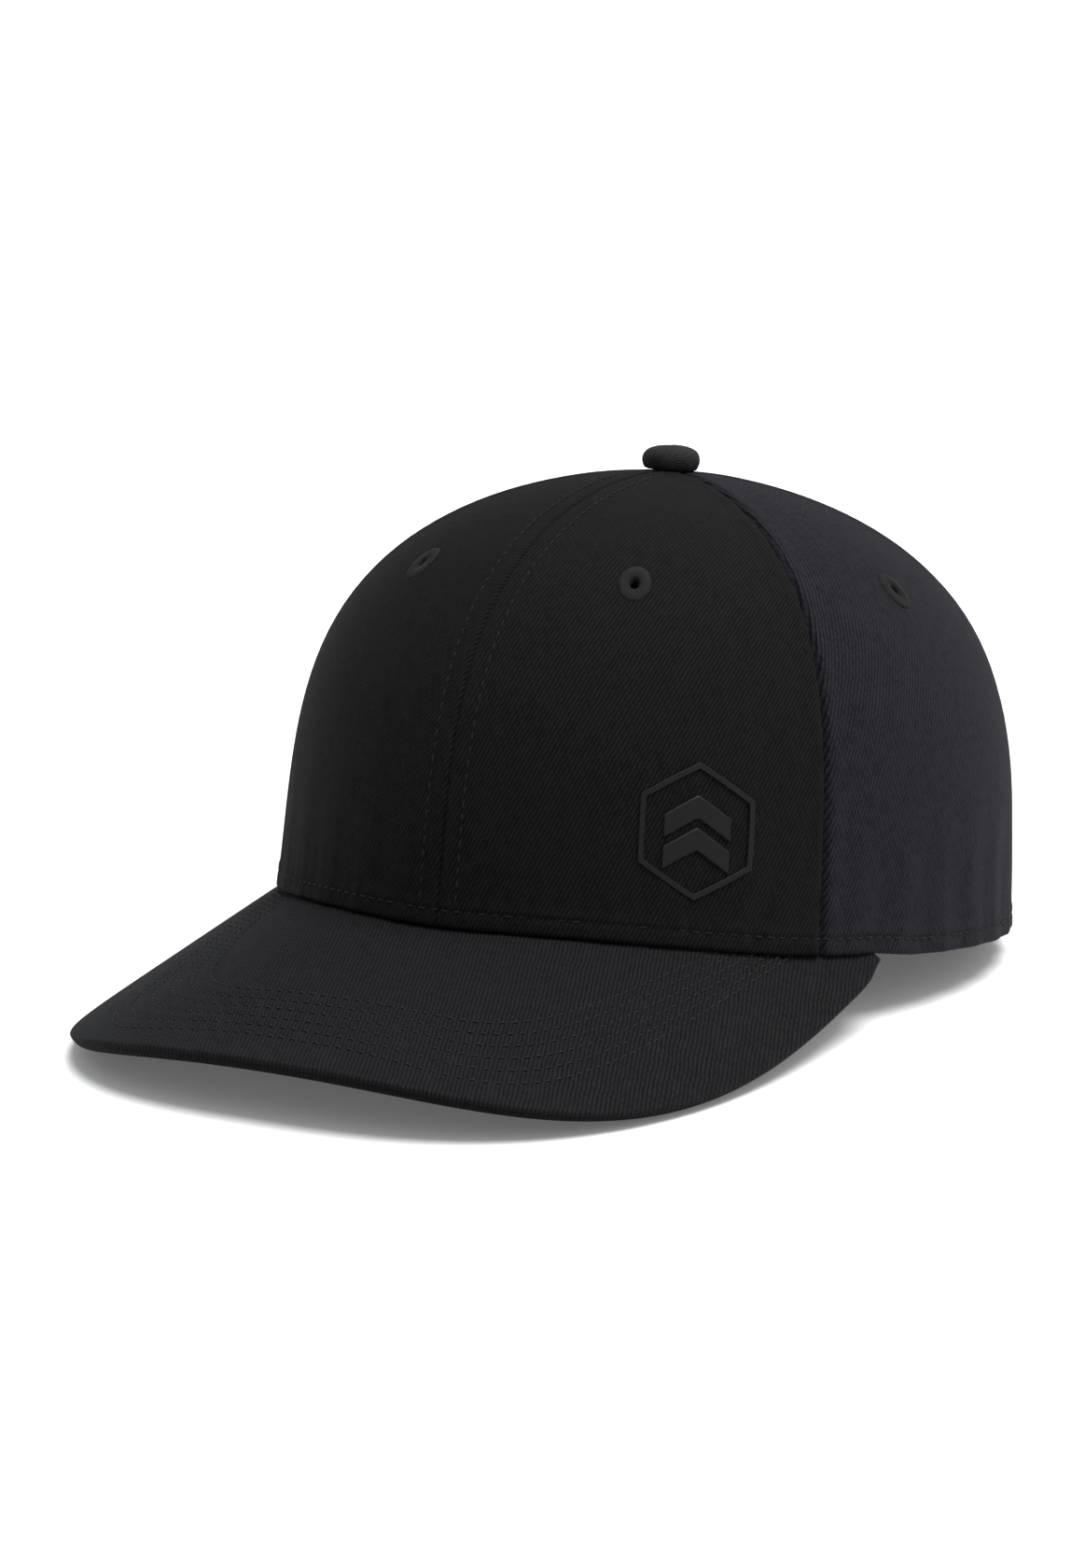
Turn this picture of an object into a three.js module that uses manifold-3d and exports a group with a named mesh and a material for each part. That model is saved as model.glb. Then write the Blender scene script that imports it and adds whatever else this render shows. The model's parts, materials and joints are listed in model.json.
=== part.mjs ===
// A bump cap: a six-panel baseball cap of cotton twill over a removable hard insert.
// Millimetres and degrees. The cap is modelled in its own frame, visor towards -Y, wearer's left +X,
// hem at z = 0, and is then tilted and lifted so that it stands on its visor and the back of its hem.
import * as THREE from "three";
import { mergeVertices } from "three/addons/utils/BufferGeometryUtils.js";
import Module from "manifold-3d";

const wasm = await Module();
wasm.setup();

// ---- Crown: the outside of the fabric ----
const HALF_WIDTH = 92.4; // centre to side at the hem, and the radius of the round back half
const FRONT_REACH = 109.7; // centre to the front of the hem
const FRONT_ROUNDNESS = 1.9; // superellipse exponent of the front half of the hem
const CROWN_HEIGHT = 111.4; // hem to apex
const APEX_FORWARD = 4.3; // how far the apex sits in front of the centre
const RISE_POWER = 0.554; // lower rises more steeply from the hem
const SHRINK = { front: 1.091, side: 1.111, back: 0.951 }; // how the plan shrinks towards the apex
const WAIST = { front: 0.011, rest: 0.0196 }; // how far the wall pulls in at half height

// ---- Panels, seams and eyelets: angles are from the front, towards the wearer's left ----
const SEAM_ANGLES = [0, 57, 120, 180, 240, 303];
const FABRIC = 0.9;
const SEAM_GAP = 0.4;
const CLEAR = 0.3; // between pieces that lie on each other
const HEM_CLEAR = 0.5; // between the front of the hem and the visor
const HEM_RAMP = 8; // degrees over which the hem comes down behind the visor's corners
const APEX_HOLE = 2.7;
const EYELET_ANGLES = [26, 82, 150, 210, 278, 334];
const EYELET_HEIGHT = CROWN_HEIGHT - 24.9;
const EYELET = { bore: 1.5, neck: 2.3, flange: 4.7, slope: 0.5, lip: 0.6, inside: FABRIC + 1 };

// ---- Linings, measured inwards from the outside of the fabric ----
const LINING_DEPTH = FABRIC + 0.7;
const LINING = 0.5;
const TAPE = { halfWidth: 6, foot: 1.5, endRadius: 15 };
const STIFFENER = { foot: 22, endRadius: 26 };
const STRAP_DEPTH = LINING_DEPTH + LINING + 0.5;
const STRAP = 0.8;
const BAND_DEPTH = STRAP_DEPTH + STRAP + 0.4; // sweatband
const BAND = 1.2;
const BAND_FOOT = 0.4; // above the hem
const BAND_HEIGHT = 34;
const BAND_END_GAP = 1; // degrees from the opening's binding
const SHELL_DEPTH = BAND_DEPTH + BAND + 0.5;
const SHELL = 1.8;
const PAD_DEPTH = SHELL_DEPTH + SHELL + 0.9;
const PAD = 4.6;

// ---- Hard insert: the heights of its rim, vents and pads are measured down from the apex ----
const RIM = { below: 64.4, swing: 9 }; // at the sides, and how much lower it is at the front
const VENT = { radius: 3, length: 20, below: 33.4, angles: [26, 60, 96, 129, 231, 264, 300, 334] };
const DOME_MIDDLE = 9; // radius of the last ring of facets
const PADS = {
  front: { from: -44, to: 44, foot: 69.4, head: 48.4 },
  left: { from: 72, to: 108, foot: 61.4, head: 46.4 },
  right: { from: 252, to: 288, foot: 61.4, head: 46.4 },
  back: { from: 156, to: 204, foot: 51.4, head: 31.4 },
};
const TOP_PAD = { outer: 40, inner: 10 }; // radii

// ---- Back opening and its closure ----
const OPENING = { halfWidth: 36, height: 40 };
const BINDING = { width: 4.7, outside: 0.4, inside: 1.5, foot: 0.3 };
const STRAP_BAND = { low: 3.5, high: 22.5, from: 136, to: 224 };
const BUCKLE = { from: 178, to: 194, rail: 1.8, railGap: 0.8, bar: 2.6, proud: 0.9, inner: 1, pinInset: 1.4 };
const LEVER = { plate: 1, lip: 0.7, lipSpan: 0.9, knuckle: 1.6, pin: 0.6, bore: 0.9 };
const TAB = { bar: 2.6, fold: 0.4, lap: 1, to: 222, layer: 0.45, outside: 0.1, inset: 0.2, slack: 0.3 };

// ---- Visor ----
const VISOR = {
  corner: 65.7, // angle at which it leaves the hem
  overhang: 2.7, // how far its sides stand out beyond its corners
  reach: 142, // corner to front edge, along Y
  sideShape: 2.79,
  frontShape: 3.5,
  flare: 0.021,
  slope: 0.292,
  bend: 0.000416, // drop = bend * |x| ** bendPower
  bendPower: 2.46,
  cover: 0.7,
  board: 1.8,
  boardInset: 1.6,
  tuck: 2.2, // how far its inner edge runs in under the hem
};

// ---- Button ----
const BUTTON_OUTLINE = [[6.7, 0], [7.4, 2], [7.1, 3.8], [5.8, 5], [3.2, 6.2], [0, 6.2]]; // radius and height
const STEM = { radius: 1.9, tip: 0.5 };
const RIVET = { radius: 7, bore: 2.3, thickness: 1, depth: FABRIC + 1 };

// ---- Badge: a plain hexagonal print with two chevrons in it ----
const BADGE = { angle: 38, height: 30.5, radius: 16.3, line: 1.5, film: 0.45 };
const CHEVRON = { width: 5.4, reach: 8.2, rise: 5.2, heights: { upper: 3.4, lower: -4.2 } };

const rad = THREE.MathUtils.degToRad;
const vec = (x, y, z) => new THREE.Vector3(x, y, z);

// ---------- The crown's surface ----------

function hemPlan(theta) {
  const c = Math.cos(theta);
  const s = Math.sin(theta);
  if (c <= 0) return [HALF_WIDTH * s, -HALF_WIDTH * c];
  const power = 2 / FRONT_ROUNDNESS;
  return [HALF_WIDTH * Math.sign(s) * Math.abs(s) ** power, -FRONT_REACH * c ** power];
}

const visorRise = (x, y) => VISOR.slope * (y + FRONT_REACH) - VISOR.bend * Math.abs(x) ** VISOR.bendPower;
const [CORNER_X, CORNER_Y] = hemPlan(rad(VISOR.corner));
const CORNER_RISE = visorRise(CORNER_X, CORNER_Y);
const visorHeight = (x, y) => visorRise(x, y) - CORNER_RISE;

const turn = (theta) => Math.abs(THREE.MathUtils.euclideanModulo(theta + Math.PI, 2 * Math.PI) - Math.PI);

// The hem clears the visor where there is one, and is flat elsewhere.
function hemHeight(theta) {
  const beyond = Math.max(turn(theta) - rad(VISOR.corner), 0) / rad(HEM_RAMP);
  const [x, y] = beyond ? [CORNER_X, CORNER_Y] : hemPlan(theta);
  const inner = 1 - FABRIC / Math.hypot(x, y);
  return (visorHeight(x * inner, y * inner) + HEM_CLEAR) * Math.max(1 - beyond, 0);
}

// The outside of the crown at an angle from the front and a climb from 0, the hem, to 90 degrees, the apex.
function crownSurface(theta, climb) {
  const [x, y] = hemPlan(theta);
  const c = Math.cos(theta);
  const weight = c * c;
  const end = c > 0 ? SHRINK.front : SHRINK.back;
  const shrink = Math.cos(climb) ** (SHRINK.side + (end - SHRINK.side) * weight);
  const rise = Math.sin(climb) ** RISE_POWER;
  const waist = WAIST.rest + (c > 0 ? (WAIST.front - WAIST.rest) * weight : 0);
  const scale = shrink * (1 - 4 * waist * rise * (1 - rise));
  const hem = hemHeight(theta);
  return vec(x * scale, y * scale - APEX_FORWARD * (1 - shrink), hem + (CROWN_HEIGHT - hem) * rise);
}

function crownNormal(theta, climb) {
  const step = 1e-3;
  const low = Math.max(climb - step, 0);
  const across = crownSurface(theta + step, climb).sub(crownSurface(theta - step, climb));
  const up = crownSurface(theta, Math.min(climb + step, Math.PI / 2 - 1e-6)).sub(crownSurface(theta, low));
  return across.cross(up).normalize();
}

const crownPoint = (theta, climb, depth) =>
  crownSurface(theta, climb).addScaledVector(crownNormal(theta, climb), -depth);

function climbAt(theta, height) {
  const hem = hemHeight(theta);
  return Math.asin(Math.max((height - hem) / (CROWN_HEIGHT - hem), 0) ** (1 / RISE_POWER));
}

// Millimetres along the surface for each radian of angle.
const widthPerRadian = (theta, climb) =>
  crownSurface(theta + 1e-3, climb).distanceTo(crownSurface(theta - 1e-3, climb)) / 2e-3;

const climbAtRadius = (radius) => Math.acos((radius / HALF_WIDTH) ** (1 / SHRINK.side));

// A point of the crown given in millimetres from a centre: along the hem's direction, and up.
function crownNear(angle, height, along, up, depth) {
  const climb = climbAt(rad(angle), height + up);
  return crownPoint(rad(angle) + along / widthPerRadian(rad(angle), climb), climb, depth);
}

// The back of the crown near the hem is round, so its pieces are turned about the centre.
const backRadius = (height, depth) => crownPoint(Math.PI, climbAt(Math.PI, height), depth).y;

function backPoint(angle, height, depth) {
  const radius = backRadius(height, depth);
  const theta = rad(angle);
  return vec(radius * Math.sin(theta), -radius * Math.cos(theta), height);
}

// ---------- Solids ----------

function solidFrom(points, triangles) {
  let volume = 0;
  const cross = new THREE.Vector3();
  for (let i = 0; i < triangles.length; i += 3) {
    const [a, b, c] = [0, 1, 2].map((k) => points[triangles[i + k]]);
    volume += a.dot(cross.crossVectors(b, c));
  }
  if (volume < 0) triangles.reverse();
  const geometry = new THREE.BufferGeometry().setFromPoints(points);
  return geometry.setIndex(triangles);
}

// A sheet with thickness: face(u, v) and back(u, v) give its two sides, u and v from 0 to 1.
// closed joins u = 1 to u = 0, and poles are the two points that close it at v = 1.
function sheetSolid(uSteps, vSteps, face, back, { closed = false, poles = null } = {}) {
  const columns = closed ? uSteps : uSteps + 1;
  const rows = vSteps + 1;
  const points = [];
  for (const side of [face, back])
    for (let j = 0; j < rows; j++)
      for (let i = 0; i < columns; i++) points.push(side(i / uSteps, j / vSteps));
  const at = (side, i, j) => side * rows * columns + j * columns + (i % columns);
  const triangles = [];
  const quad = (a, b, c, d) => triangles.push(a, b, c, a, c, d);
  for (let i = 0; i < uSteps; i++) {
    for (let j = 0; j < vSteps; j++) {
      quad(at(0, i, j), at(0, i + 1, j), at(0, i + 1, j + 1), at(0, i, j + 1));
      quad(at(1, i, j), at(1, i, j + 1), at(1, i + 1, j + 1), at(1, i + 1, j));
    }
    quad(at(0, i, 0), at(1, i, 0), at(1, i + 1, 0), at(0, i + 1, 0));
    if (!poles) quad(at(0, i, vSteps), at(0, i + 1, vSteps), at(1, i + 1, vSteps), at(1, i, vSteps));
  }
  if (poles) {
    const top = points.push(...poles) - 2;
    for (let i = 0; i < uSteps; i++) {
      triangles.push(at(0, i, vSteps), at(0, i + 1, vSteps), top);
      triangles.push(at(1, i + 1, vSteps), at(1, i, vSteps), top + 1);
    }
  }
  if (!closed)
    for (let j = 0; j < vSteps; j++) {
      quad(at(0, 0, j), at(0, 0, j + 1), at(1, 0, j + 1), at(1, 0, j));
      quad(at(0, uSteps, j), at(1, uSteps, j), at(1, uSteps, j + 1), at(0, uSteps, j + 1));
    }
  return solidFrom(points, triangles);
}

function toManifold(geometry) {
  const bare = geometry.clone();
  bare.deleteAttribute("normal");
  bare.deleteAttribute("uv");
  const merged = mergeVertices(bare, 1e-4);
  return new wasm.Manifold(
    new wasm.Mesh({
      numProp: 3,
      vertProperties: merged.attributes.position.array,
      triVerts: new Uint32Array(merged.index.array),
    }),
  );
}

function fromManifold(solid) {
  const mesh = solid.getMesh();
  return new THREE.BufferGeometry()
    .setAttribute("position", new THREE.BufferAttribute(new Float32Array(mesh.vertProperties), 3))
    .setIndex(new THREE.BufferAttribute(new Uint32Array(mesh.triVerts), 1));
}

const cut = (geometry, ...cutters) =>
  fromManifold(cutters.reduce((solid, cutter) => solid.subtract(toManifold(cutter)), toManifold(geometry)));

const join = (...pieces) =>
  fromManifold(pieces.map(toManifold).reduce((whole, piece) => whole.add(piece)));

const mix = THREE.MathUtils.lerp;

// A block of the round back between two angles, two heights and two depths.
function backBlock([from, to], [low, high], [outer, inner], steps = 2) {
  const side = (depth) => (u, v) => backPoint(mix(from, to, u), mix(low, high, v), depth);
  return sheetSolid(steps, 2, side(outer), side(inner));
}

// The frame of a shape that stands on the crown, its +Z pointing outwards and its +Y up the wall.
function seatOnCrown(angle, height, depth) {
  const theta = rad(angle);
  const climb = climbAt(theta, height);
  const out = crownNormal(theta, climb);
  const up = crownSurface(theta, climb + 0.01).sub(crownSurface(theta, climb));
  const side = up.cross(out).normalize();
  const seat = new THREE.Matrix4().makeBasis(side, out.clone().cross(side), out);
  return seat.setPosition(crownPoint(theta, climb, depth));
}

const lathe = (profile, steps) =>
  new THREE.LatheGeometry(
    profile.map(([r, z]) => new THREE.Vector2(r, z)),
    steps,
  ).rotateX(Math.PI / 2);

const rod = (radius, low, high, steps) =>
  new THREE.CylinderGeometry(radius, radius, high - low, steps)
    .rotateX(Math.PI / 2)
    .translate(0, 0, (low + high) / 2);

// ---------- Materials ----------

const finish = (color, roughness, metalness = 0) =>
  new THREE.MeshStandardMaterial({ color, roughness, metalness });
const twill = finish(0x1c1c20, 0.95);
const visorTwill = finish(0x1e2026, 0.93);
const thread = finish(0x2a2a2c, 0.8);
const cottonTape = finish(0x17171a, 0.9);
const buckram = finish(0x3a3a3c, 1.0);
const sweatCloth = finish(0x141416, 0.85);
const hardPlastic = finish(0x26292c, 0.45);
const foam = finish(0x222224, 0.9);
const boardPlastic = finish(0x35373a, 0.6);
const rubberPrint = finish(0x29292b, 0.5);
const darkMetal = finish(0x3b3d40, 0.35, 1.0);

const cap = new THREE.Group();
const [crown, visor, insert, closure] = [0, 1, 2, 3].map(() => new THREE.Group());
cap.add(crown, visor, insert, closure);

function addPiece(group, name, geometry, material) {
  const mesh = new THREE.Mesh(geometry, material);
  mesh.name = name;
  group.add(mesh);
  return mesh;
}

// ---------- Crown pieces ----------

// A patch of the crown between two seams, inset in millimetres from each, between two climbs.
function crownPatch([from, to], inset, [low, high], [outer, inner], uSteps, vSteps, spread = 1) {
  const side = (depth) => (u, v) => {
    const climb = (theta) => mix(low(theta), high(theta), v ** spread);
    const step = (angle) => inset / widthPerRadian(angle, climb(angle));
    const theta = mix(rad(from) + step(rad(from)), rad(to) - step(rad(to)), u);
    return crownPoint(theta, climb(theta), depth);
  };
  return sheetSolid(uSteps, vSteps, side(outer), side(inner));
}

const hemClimb = () => 0;
const atRadius = (radius) => () => climbAtRadius(radius);
const atHeight = (height) => (theta) => climbAt(theta, height);

function eyeletHole(angle, radius) {
  const reach = 4;
  return rod(radius, -reach, reach, 12).applyMatrix4(seatOnCrown(angle, EYELET_HEIGHT, 0));
}

// An upright arch through the back of the crown, outside the binding of the opening.
function openingCutter() {
  const below = 6;
  const start = 1.4 * HALF_WIDTH;
  const width = OPENING.halfWidth + BINDING.width + CLEAR;
  const shape = new THREE.Shape();
  shape.moveTo(width, -below);
  shape.lineTo(width, 0);
  shape.absellipse(0, 0, width, OPENING.height + BINDING.width + CLEAR, 0, Math.PI);
  shape.lineTo(-width, -below);
  shape.closePath();
  return new THREE.ExtrudeGeometry(shape, { depth: HALF_WIDTH, bevelEnabled: false, curveSegments: 20 })
    .rotateX(Math.PI / 2)
    .translate(0, start, 0);
}

function addPanels() {
  const names = ["front_left", "side_left", "back_left", "back_right", "side_right", "front_right"];
  names.forEach((name, i) => {
    const span = [SEAM_ANGLES[i], SEAM_ANGLES[i + 1] ?? 360];
    const patch = crownPatch(span, SEAM_GAP / 2, [hemClimb, atRadius(APEX_HOLE)], [0, FABRIC], 8, 11, 1.6);
    const cutters = [eyeletHole(EYELET_ANGLES[i], EYELET.neck + CLEAR)];
    if (name.startsWith("back")) cutters.push(openingCutter());
    addPiece(crown, `crown_panel_${name}`, cut(patch, ...cutters), twill);
    addEyelet(`eyelet_${name}`, EYELET_ANGLES[i]);
  });
}

function addEyelet(name, angle) {
  const { bore, neck, flange, slope, lip } = EYELET;
  const outside = CLEAR;
  const inside = -EYELET.inside;
  const profile = [
    [bore, inside - lip], [flange, inside - lip], [flange, inside], [neck, inside],
    [neck, outside], [flange, outside], [flange - slope, outside + lip], [bore, outside + lip],
    [bore, inside - lip],
  ];
  addPiece(crown, name, lathe(profile, 12), thread).applyMatrix4(seatOnCrown(angle, EYELET_HEIGHT, 0));
}

function addSeamTapes() {
  const names = ["front", "front_left", "back_left", "back", "back_right", "front_right"];
  const depths = [LINING_DEPTH, LINING_DEPTH + LINING];
  SEAM_ANGLES.forEach((angle, i) => {
    const side = (depth) => (u, v) => {
      const start = climbAt(rad(angle), hemHeight(rad(angle)) + TAPE.foot);
      const climb = mix(start, climbAtRadius(TAPE.endRadius), v ** 1.5);
      const theta = rad(angle) + ((2 * u - 1) * TAPE.halfWidth) / widthPerRadian(rad(angle), climb);
      return crownPoint(theta, climb, depth);
    };
    const tape = sheetSolid(2, 10, side(depths[0]), side(depths[1]));
    const piece = names[i] === "back" ? cut(tape, openingCutter()) : tape;
    addPiece(crown, `seam_tape_${names[i]}`, piece, cottonTape);
  });
}

// The stiff open-weave backing of the two front panels.
function addFrontStiffeners() {
  const depths = [LINING_DEPTH, LINING_DEPTH + LINING];
  const inset = TAPE.halfWidth + CLEAR;
  const rows = [atHeight(STIFFENER.foot), atRadius(STIFFENER.endRadius)];
  const sides = [
    ["left", [0, SEAM_ANGLES[1]], EYELET_ANGLES[0]],
    ["right", [SEAM_ANGLES[5], 360], EYELET_ANGLES[5]],
  ];
  for (const [name, span, eyelet] of sides) {
    const patch = crownPatch(span, inset, rows, depths, 5, 6);
    const hole = eyeletHole(eyelet, EYELET.flange + CLEAR);
    addPiece(crown, `front_stiffener_${name}`, cut(patch, hole), buckram);
  }
}

function addSweatband() {
  const end = Math.PI - Math.asin((OPENING.halfWidth + BINDING.width) / HALF_WIDTH) - rad(BAND_END_GAP);
  const side = (depth) => (u, v) => {
    const theta = mix(-end, end, u);
    return crownPoint(theta, climbAt(theta, mix(hemHeight(theta) + BAND_FOOT, BAND_HEIGHT, v)), depth);
  };
  addPiece(crown, "sweatband", sheetSolid(44, 3, side(BAND_DEPTH), side(BAND_DEPTH + BAND)), sweatCloth);
}

// ---------- Button ----------

function addButton() {
  const tip = -(RIVET.depth + RIVET.thickness + STEM.tip);
  const cloth = BUTTON_OUTLINE.map(([radius, height]) => [radius, CLEAR + height]);
  const profile = [[0, tip], [STEM.radius, tip], [STEM.radius, CLEAR], ...cloth];
  const top = -RIVET.depth;
  const ring = [
    [RIVET.bore, top - RIVET.thickness], [RIVET.radius, top - RIVET.thickness],
    [RIVET.radius, top], [RIVET.bore, top], [RIVET.bore, top - RIVET.thickness],
  ];
  const button = addPiece(crown, "top_button", lathe(profile, 22), twill);
  const rivet = addPiece(crown, "button_rivet", lathe(ring, 18), darkMetal);
  for (const piece of [button, rivet]) piece.position.set(0, -APEX_FORWARD, CROWN_HEIGHT);
}

// ---------- Visor ----------

// The free edge of the visor, from the right corner at u = 0 to the left corner at u = 1.
function visorEdge(u, inset) {
  const angle = (2 * u - 1) * (Math.PI / 2);
  const forward = Math.abs(Math.cos(angle)) ** (2 / VISOR.frontShape);
  const flare = 1 + VISOR.flare * Math.sin(Math.PI * forward);
  const width = CORNER_X + VISOR.overhang - inset;
  const side = Math.sign(angle) * Math.abs(Math.sin(angle)) ** (2 / VISOR.sideShape);
  return [width * flare * side, CORNER_Y - (VISOR.reach - inset) * forward];
}

// A layer of the visor between two depths below its upper surface.
function visorLayer(uSteps, vSteps, inset, [top, bottom]) {
  const side = (depth) => (u, v) => {
    const theta = rad(mix(-VISOR.corner, VISOR.corner, u));
    const inner = crownPoint(theta, 0, VISOR.tuck);
    const [x1, y1] = visorEdge(u, inset);
    const x = mix(inner.x, x1, v);
    const y = mix(inner.y, y1, v);
    const step = 0.01;
    const tiltX = (visorHeight(x + step, y) - visorHeight(x - step, y)) / (2 * step);
    const normal = vec(-tiltX, -VISOR.slope, 1).normalize();
    return vec(x, y, visorHeight(x, y)).addScaledVector(normal, -depth);
  };
  return sheetSolid(uSteps, vSteps, side(top), side(bottom));
}

const BOARD_TOP = VISOR.cover + CLEAR;
const UNDER_TOP = BOARD_TOP + VISOR.board + CLEAR;
const UNDER_BOTTOM = UNDER_TOP + VISOR.cover;

function addVisor() {
  const boardDepths = [BOARD_TOP, BOARD_TOP + VISOR.board];
  addPiece(visor, "visor_top_cover", visorLayer(23, 5, 0, [0, VISOR.cover]), visorTwill);
  addPiece(visor, "visor_board", visorLayer(23, 4, VISOR.boardInset, boardDepths), boardPlastic);
  addPiece(visor, "visor_under_cover", visorLayer(23, 5, 0, [UNDER_TOP, UNDER_BOTTOM]), visorTwill);
}

// ---------- Hard insert and its pads ----------

const rimClimb = (theta) => climbAt(theta, CROWN_HEIGHT - RIM.below - RIM.swing * Math.cos(theta));

function ventCutter(angle) {
  const { radius, length } = VENT;
  const half = length / 2 - radius;
  const shape = new THREE.Shape();
  shape.absarc(0, half, radius, 0, Math.PI);
  shape.absarc(0, -half, radius, Math.PI, 2 * Math.PI);
  shape.closePath();
  const reach = 8;
  return new THREE.ExtrudeGeometry(shape, { depth: 2 * reach, bevelEnabled: false, curveSegments: 4 })
    .translate(0, 0, -reach)
    .applyMatrix4(seatOnCrown(angle, CROWN_HEIGHT - VENT.below, SHELL_DEPTH));
}

// The dome's two middle points.
const poles = (depths) => depths.map((depth) => vec(0, -APEX_FORWARD, CROWN_HEIGHT - depth));

function addShell() {
  const last = climbAtRadius(DOME_MIDDLE);
  const side = (depth) => (u, v) => {
    const theta = 2 * Math.PI * u;
    return crownPoint(theta, mix(rimClimb(theta), last, v), depth);
  };
  const depths = [SHELL_DEPTH, SHELL_DEPTH + SHELL];
  const dome = sheetSolid(46, 8, ...depths.map(side), { closed: true, poles: poles(depths) });
  addPiece(insert, "protective_shell", cut(dome, ...VENT.angles.map(ventCutter)), hardPlastic);
}

const PAD_DEPTHS = [PAD_DEPTH, PAD_DEPTH + PAD];

function padPatch({ from, to, foot, head }) {
  const side = (depth) => (u, v) => {
    const theta = rad(mix(from, to, u));
    return crownPoint(theta, climbAt(theta, CROWN_HEIGHT - mix(foot, head, v)), depth);
  };
  return sheetSolid(10, 2, ...PAD_DEPTHS.map(side));
}

function addPads() {
  for (const [name, pad] of Object.entries(PADS)) addPiece(insert, `foam_pad_${name}`, padPatch(pad), foam);
  const side = (depth) => (u, v) => {
    const theta = 2 * Math.PI * u;
    return crownPoint(theta, climbAtRadius(mix(TOP_PAD.outer, TOP_PAD.inner, v)), depth);
  };
  const disc = sheetSolid(24, 2, ...PAD_DEPTHS.map(side), { closed: true, poles: poles(PAD_DEPTHS) });
  addPiece(insert, "foam_pad_top", disc, foam);
}

// ---------- Back closure ----------

function addBinding() {
  const side = (depth) => (u, v) => {
    const angle = Math.PI * u;
    const grow = BINDING.width * v;
    const x = (OPENING.halfWidth + grow) * Math.cos(angle);
    const height = Math.max((OPENING.height + grow) * Math.sin(angle), BINDING.foot);
    return vec(x, Math.sqrt(backRadius(height, depth) ** 2 - x * x), height);
  };
  const binding = sheetSolid(28, 2, side(-BINDING.outside), side(BINDING.inside));
  addPiece(closure, "opening_binding", binding, cottonTape);
}

const STRAP_DEPTHS = [STRAP_DEPTH, STRAP_DEPTH + STRAP];
const BACK_BAR_DEPTHS = [STRAP_DEPTHS[1] + CLEAR, STRAP_DEPTHS[1] + CLEAR + BUCKLE.inner];
const FRAME_FOOT = STRAP_BAND.low - BUCKLE.railGap - BUCKLE.rail;
const FRAME_HEAD = STRAP_BAND.high + BUCKLE.railGap + BUCKLE.rail;
const PIN_ANGLE = BUCKLE.from + BUCKLE.pinInset;
const TAB_START = BUCKLE.to - TAB.bar - TAB.fold;
const TAB_OUTER = [TAB.outside, TAB.outside + TAB.layer];
const TAB_INNER = [STRAP_DEPTH - CLEAR - TAB.layer, STRAP_DEPTH - CLEAR];
const LEVER_END = TAB_START - TAB.fold;

// A rod along the lever's hinge, upright on the outside of the buckle.
function hingeRod(radius, low, high) {
  const at = backPoint(PIN_ANGLE, 0, 0);
  return rod(radius, low, high, 16).translate(at.x, at.y, 0);
}

const hingeBore = () => hingeRod(LEVER.bore, FRAME_FOOT - 1, FRAME_HEAD + 1);

// The strap runs behind the panels and through the buckle, between its lever and its inner bar.
function addStrap() {
  const { low, high, from, to } = STRAP_BAND;
  addPiece(closure, "adjuster_strap", backBlock([from, to], [low, high], STRAP_DEPTHS, 24), twill);
}

function addBuckle() {
  const span = [BUCKLE.from, BUCKLE.to];
  const full = [FRAME_FOOT, FRAME_HEAD];
  const railDepths = [-BUCKLE.proud, BACK_BAR_DEPTHS[1]];
  const barHalf = BUCKLE.bar / 2 / HALF_WIDTH;
  const middle = (BUCKLE.from + BUCKLE.to) / 2;
  const innerBar = [-1, 1].map((sign) => middle + THREE.MathUtils.radToDeg(sign * barHalf));
  const endBar = [TAB_START + TAB.fold + TAB.inset, BUCKLE.to];
  const frame = join(
    backBlock(span, [FRAME_FOOT, FRAME_FOOT + BUCKLE.rail], railDepths, 5),
    backBlock(span, [FRAME_HEAD - BUCKLE.rail, FRAME_HEAD], railDepths, 5),
    backBlock(innerBar, full, BACK_BAR_DEPTHS),
    backBlock(endBar, full, [TAB_OUTER[1] + TAB.slack, TAB_INNER[0] - TAB.slack]),
  );
  addPiece(closure, "buckle_frame", cut(frame, hingeBore()), darkMetal);
  addPiece(closure, "lever_pin", hingeRod(LEVER.pin, ...full), darkMetal);
}

function addLever() {
  const heights = [STRAP_BAND.low - CLEAR, STRAP_BAND.high + CLEAR];
  const plateDepths = [-LEVER.plate / 2, LEVER.plate / 2];
  const lipDepths = [plateDepths[0] - LEVER.lip, plateDepths[1]];
  const lever = join(
    backBlock([PIN_ANGLE, LEVER_END], heights, plateDepths, 6),
    backBlock([LEVER_END - LEVER.lipSpan, LEVER_END], heights, lipDepths),
    hingeRod(LEVER.knuckle, ...heights),
  );
  addPiece(closure, "buckle_lever", cut(lever, hingeBore()), darkMetal);
}

// A tape looped round the buckle's end bar and sewn in behind the right back panel.
function addTab() {
  const heights = [STRAP_BAND.low + TAB.inset, STRAP_BAND.high - TAB.inset];
  const both = [TAB_OUTER[0], TAB_INNER[1]];
  const lap = BUCKLE.to + TAB.lap;
  const tab = join(
    backBlock([TAB_START, lap], heights, TAB_OUTER),
    backBlock([TAB_START, TAB.to], heights, TAB_INNER, 10),
    backBlock([TAB_START, TAB_START + TAB.fold], heights, both),
    backBlock([lap - TAB.fold, lap], heights, both),
  );
  addPiece(closure, "buckle_tab", tab, cottonTape);
}

// ---------- Badge ----------

// The distance from the middle of a hexagon with a corner upwards to its side, for a corner radius of 1.
const hexagon = (angle) => {
  const sixth = Math.PI / 3;
  const within = THREE.MathUtils.euclideanModulo(angle, sixth) - sixth / 2;
  return Math.cos(sixth / 2) / Math.cos(within);
};

const badgePoint = (along, up, depth) => crownNear(BADGE.angle, BADGE.height, along, up, depth);

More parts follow.
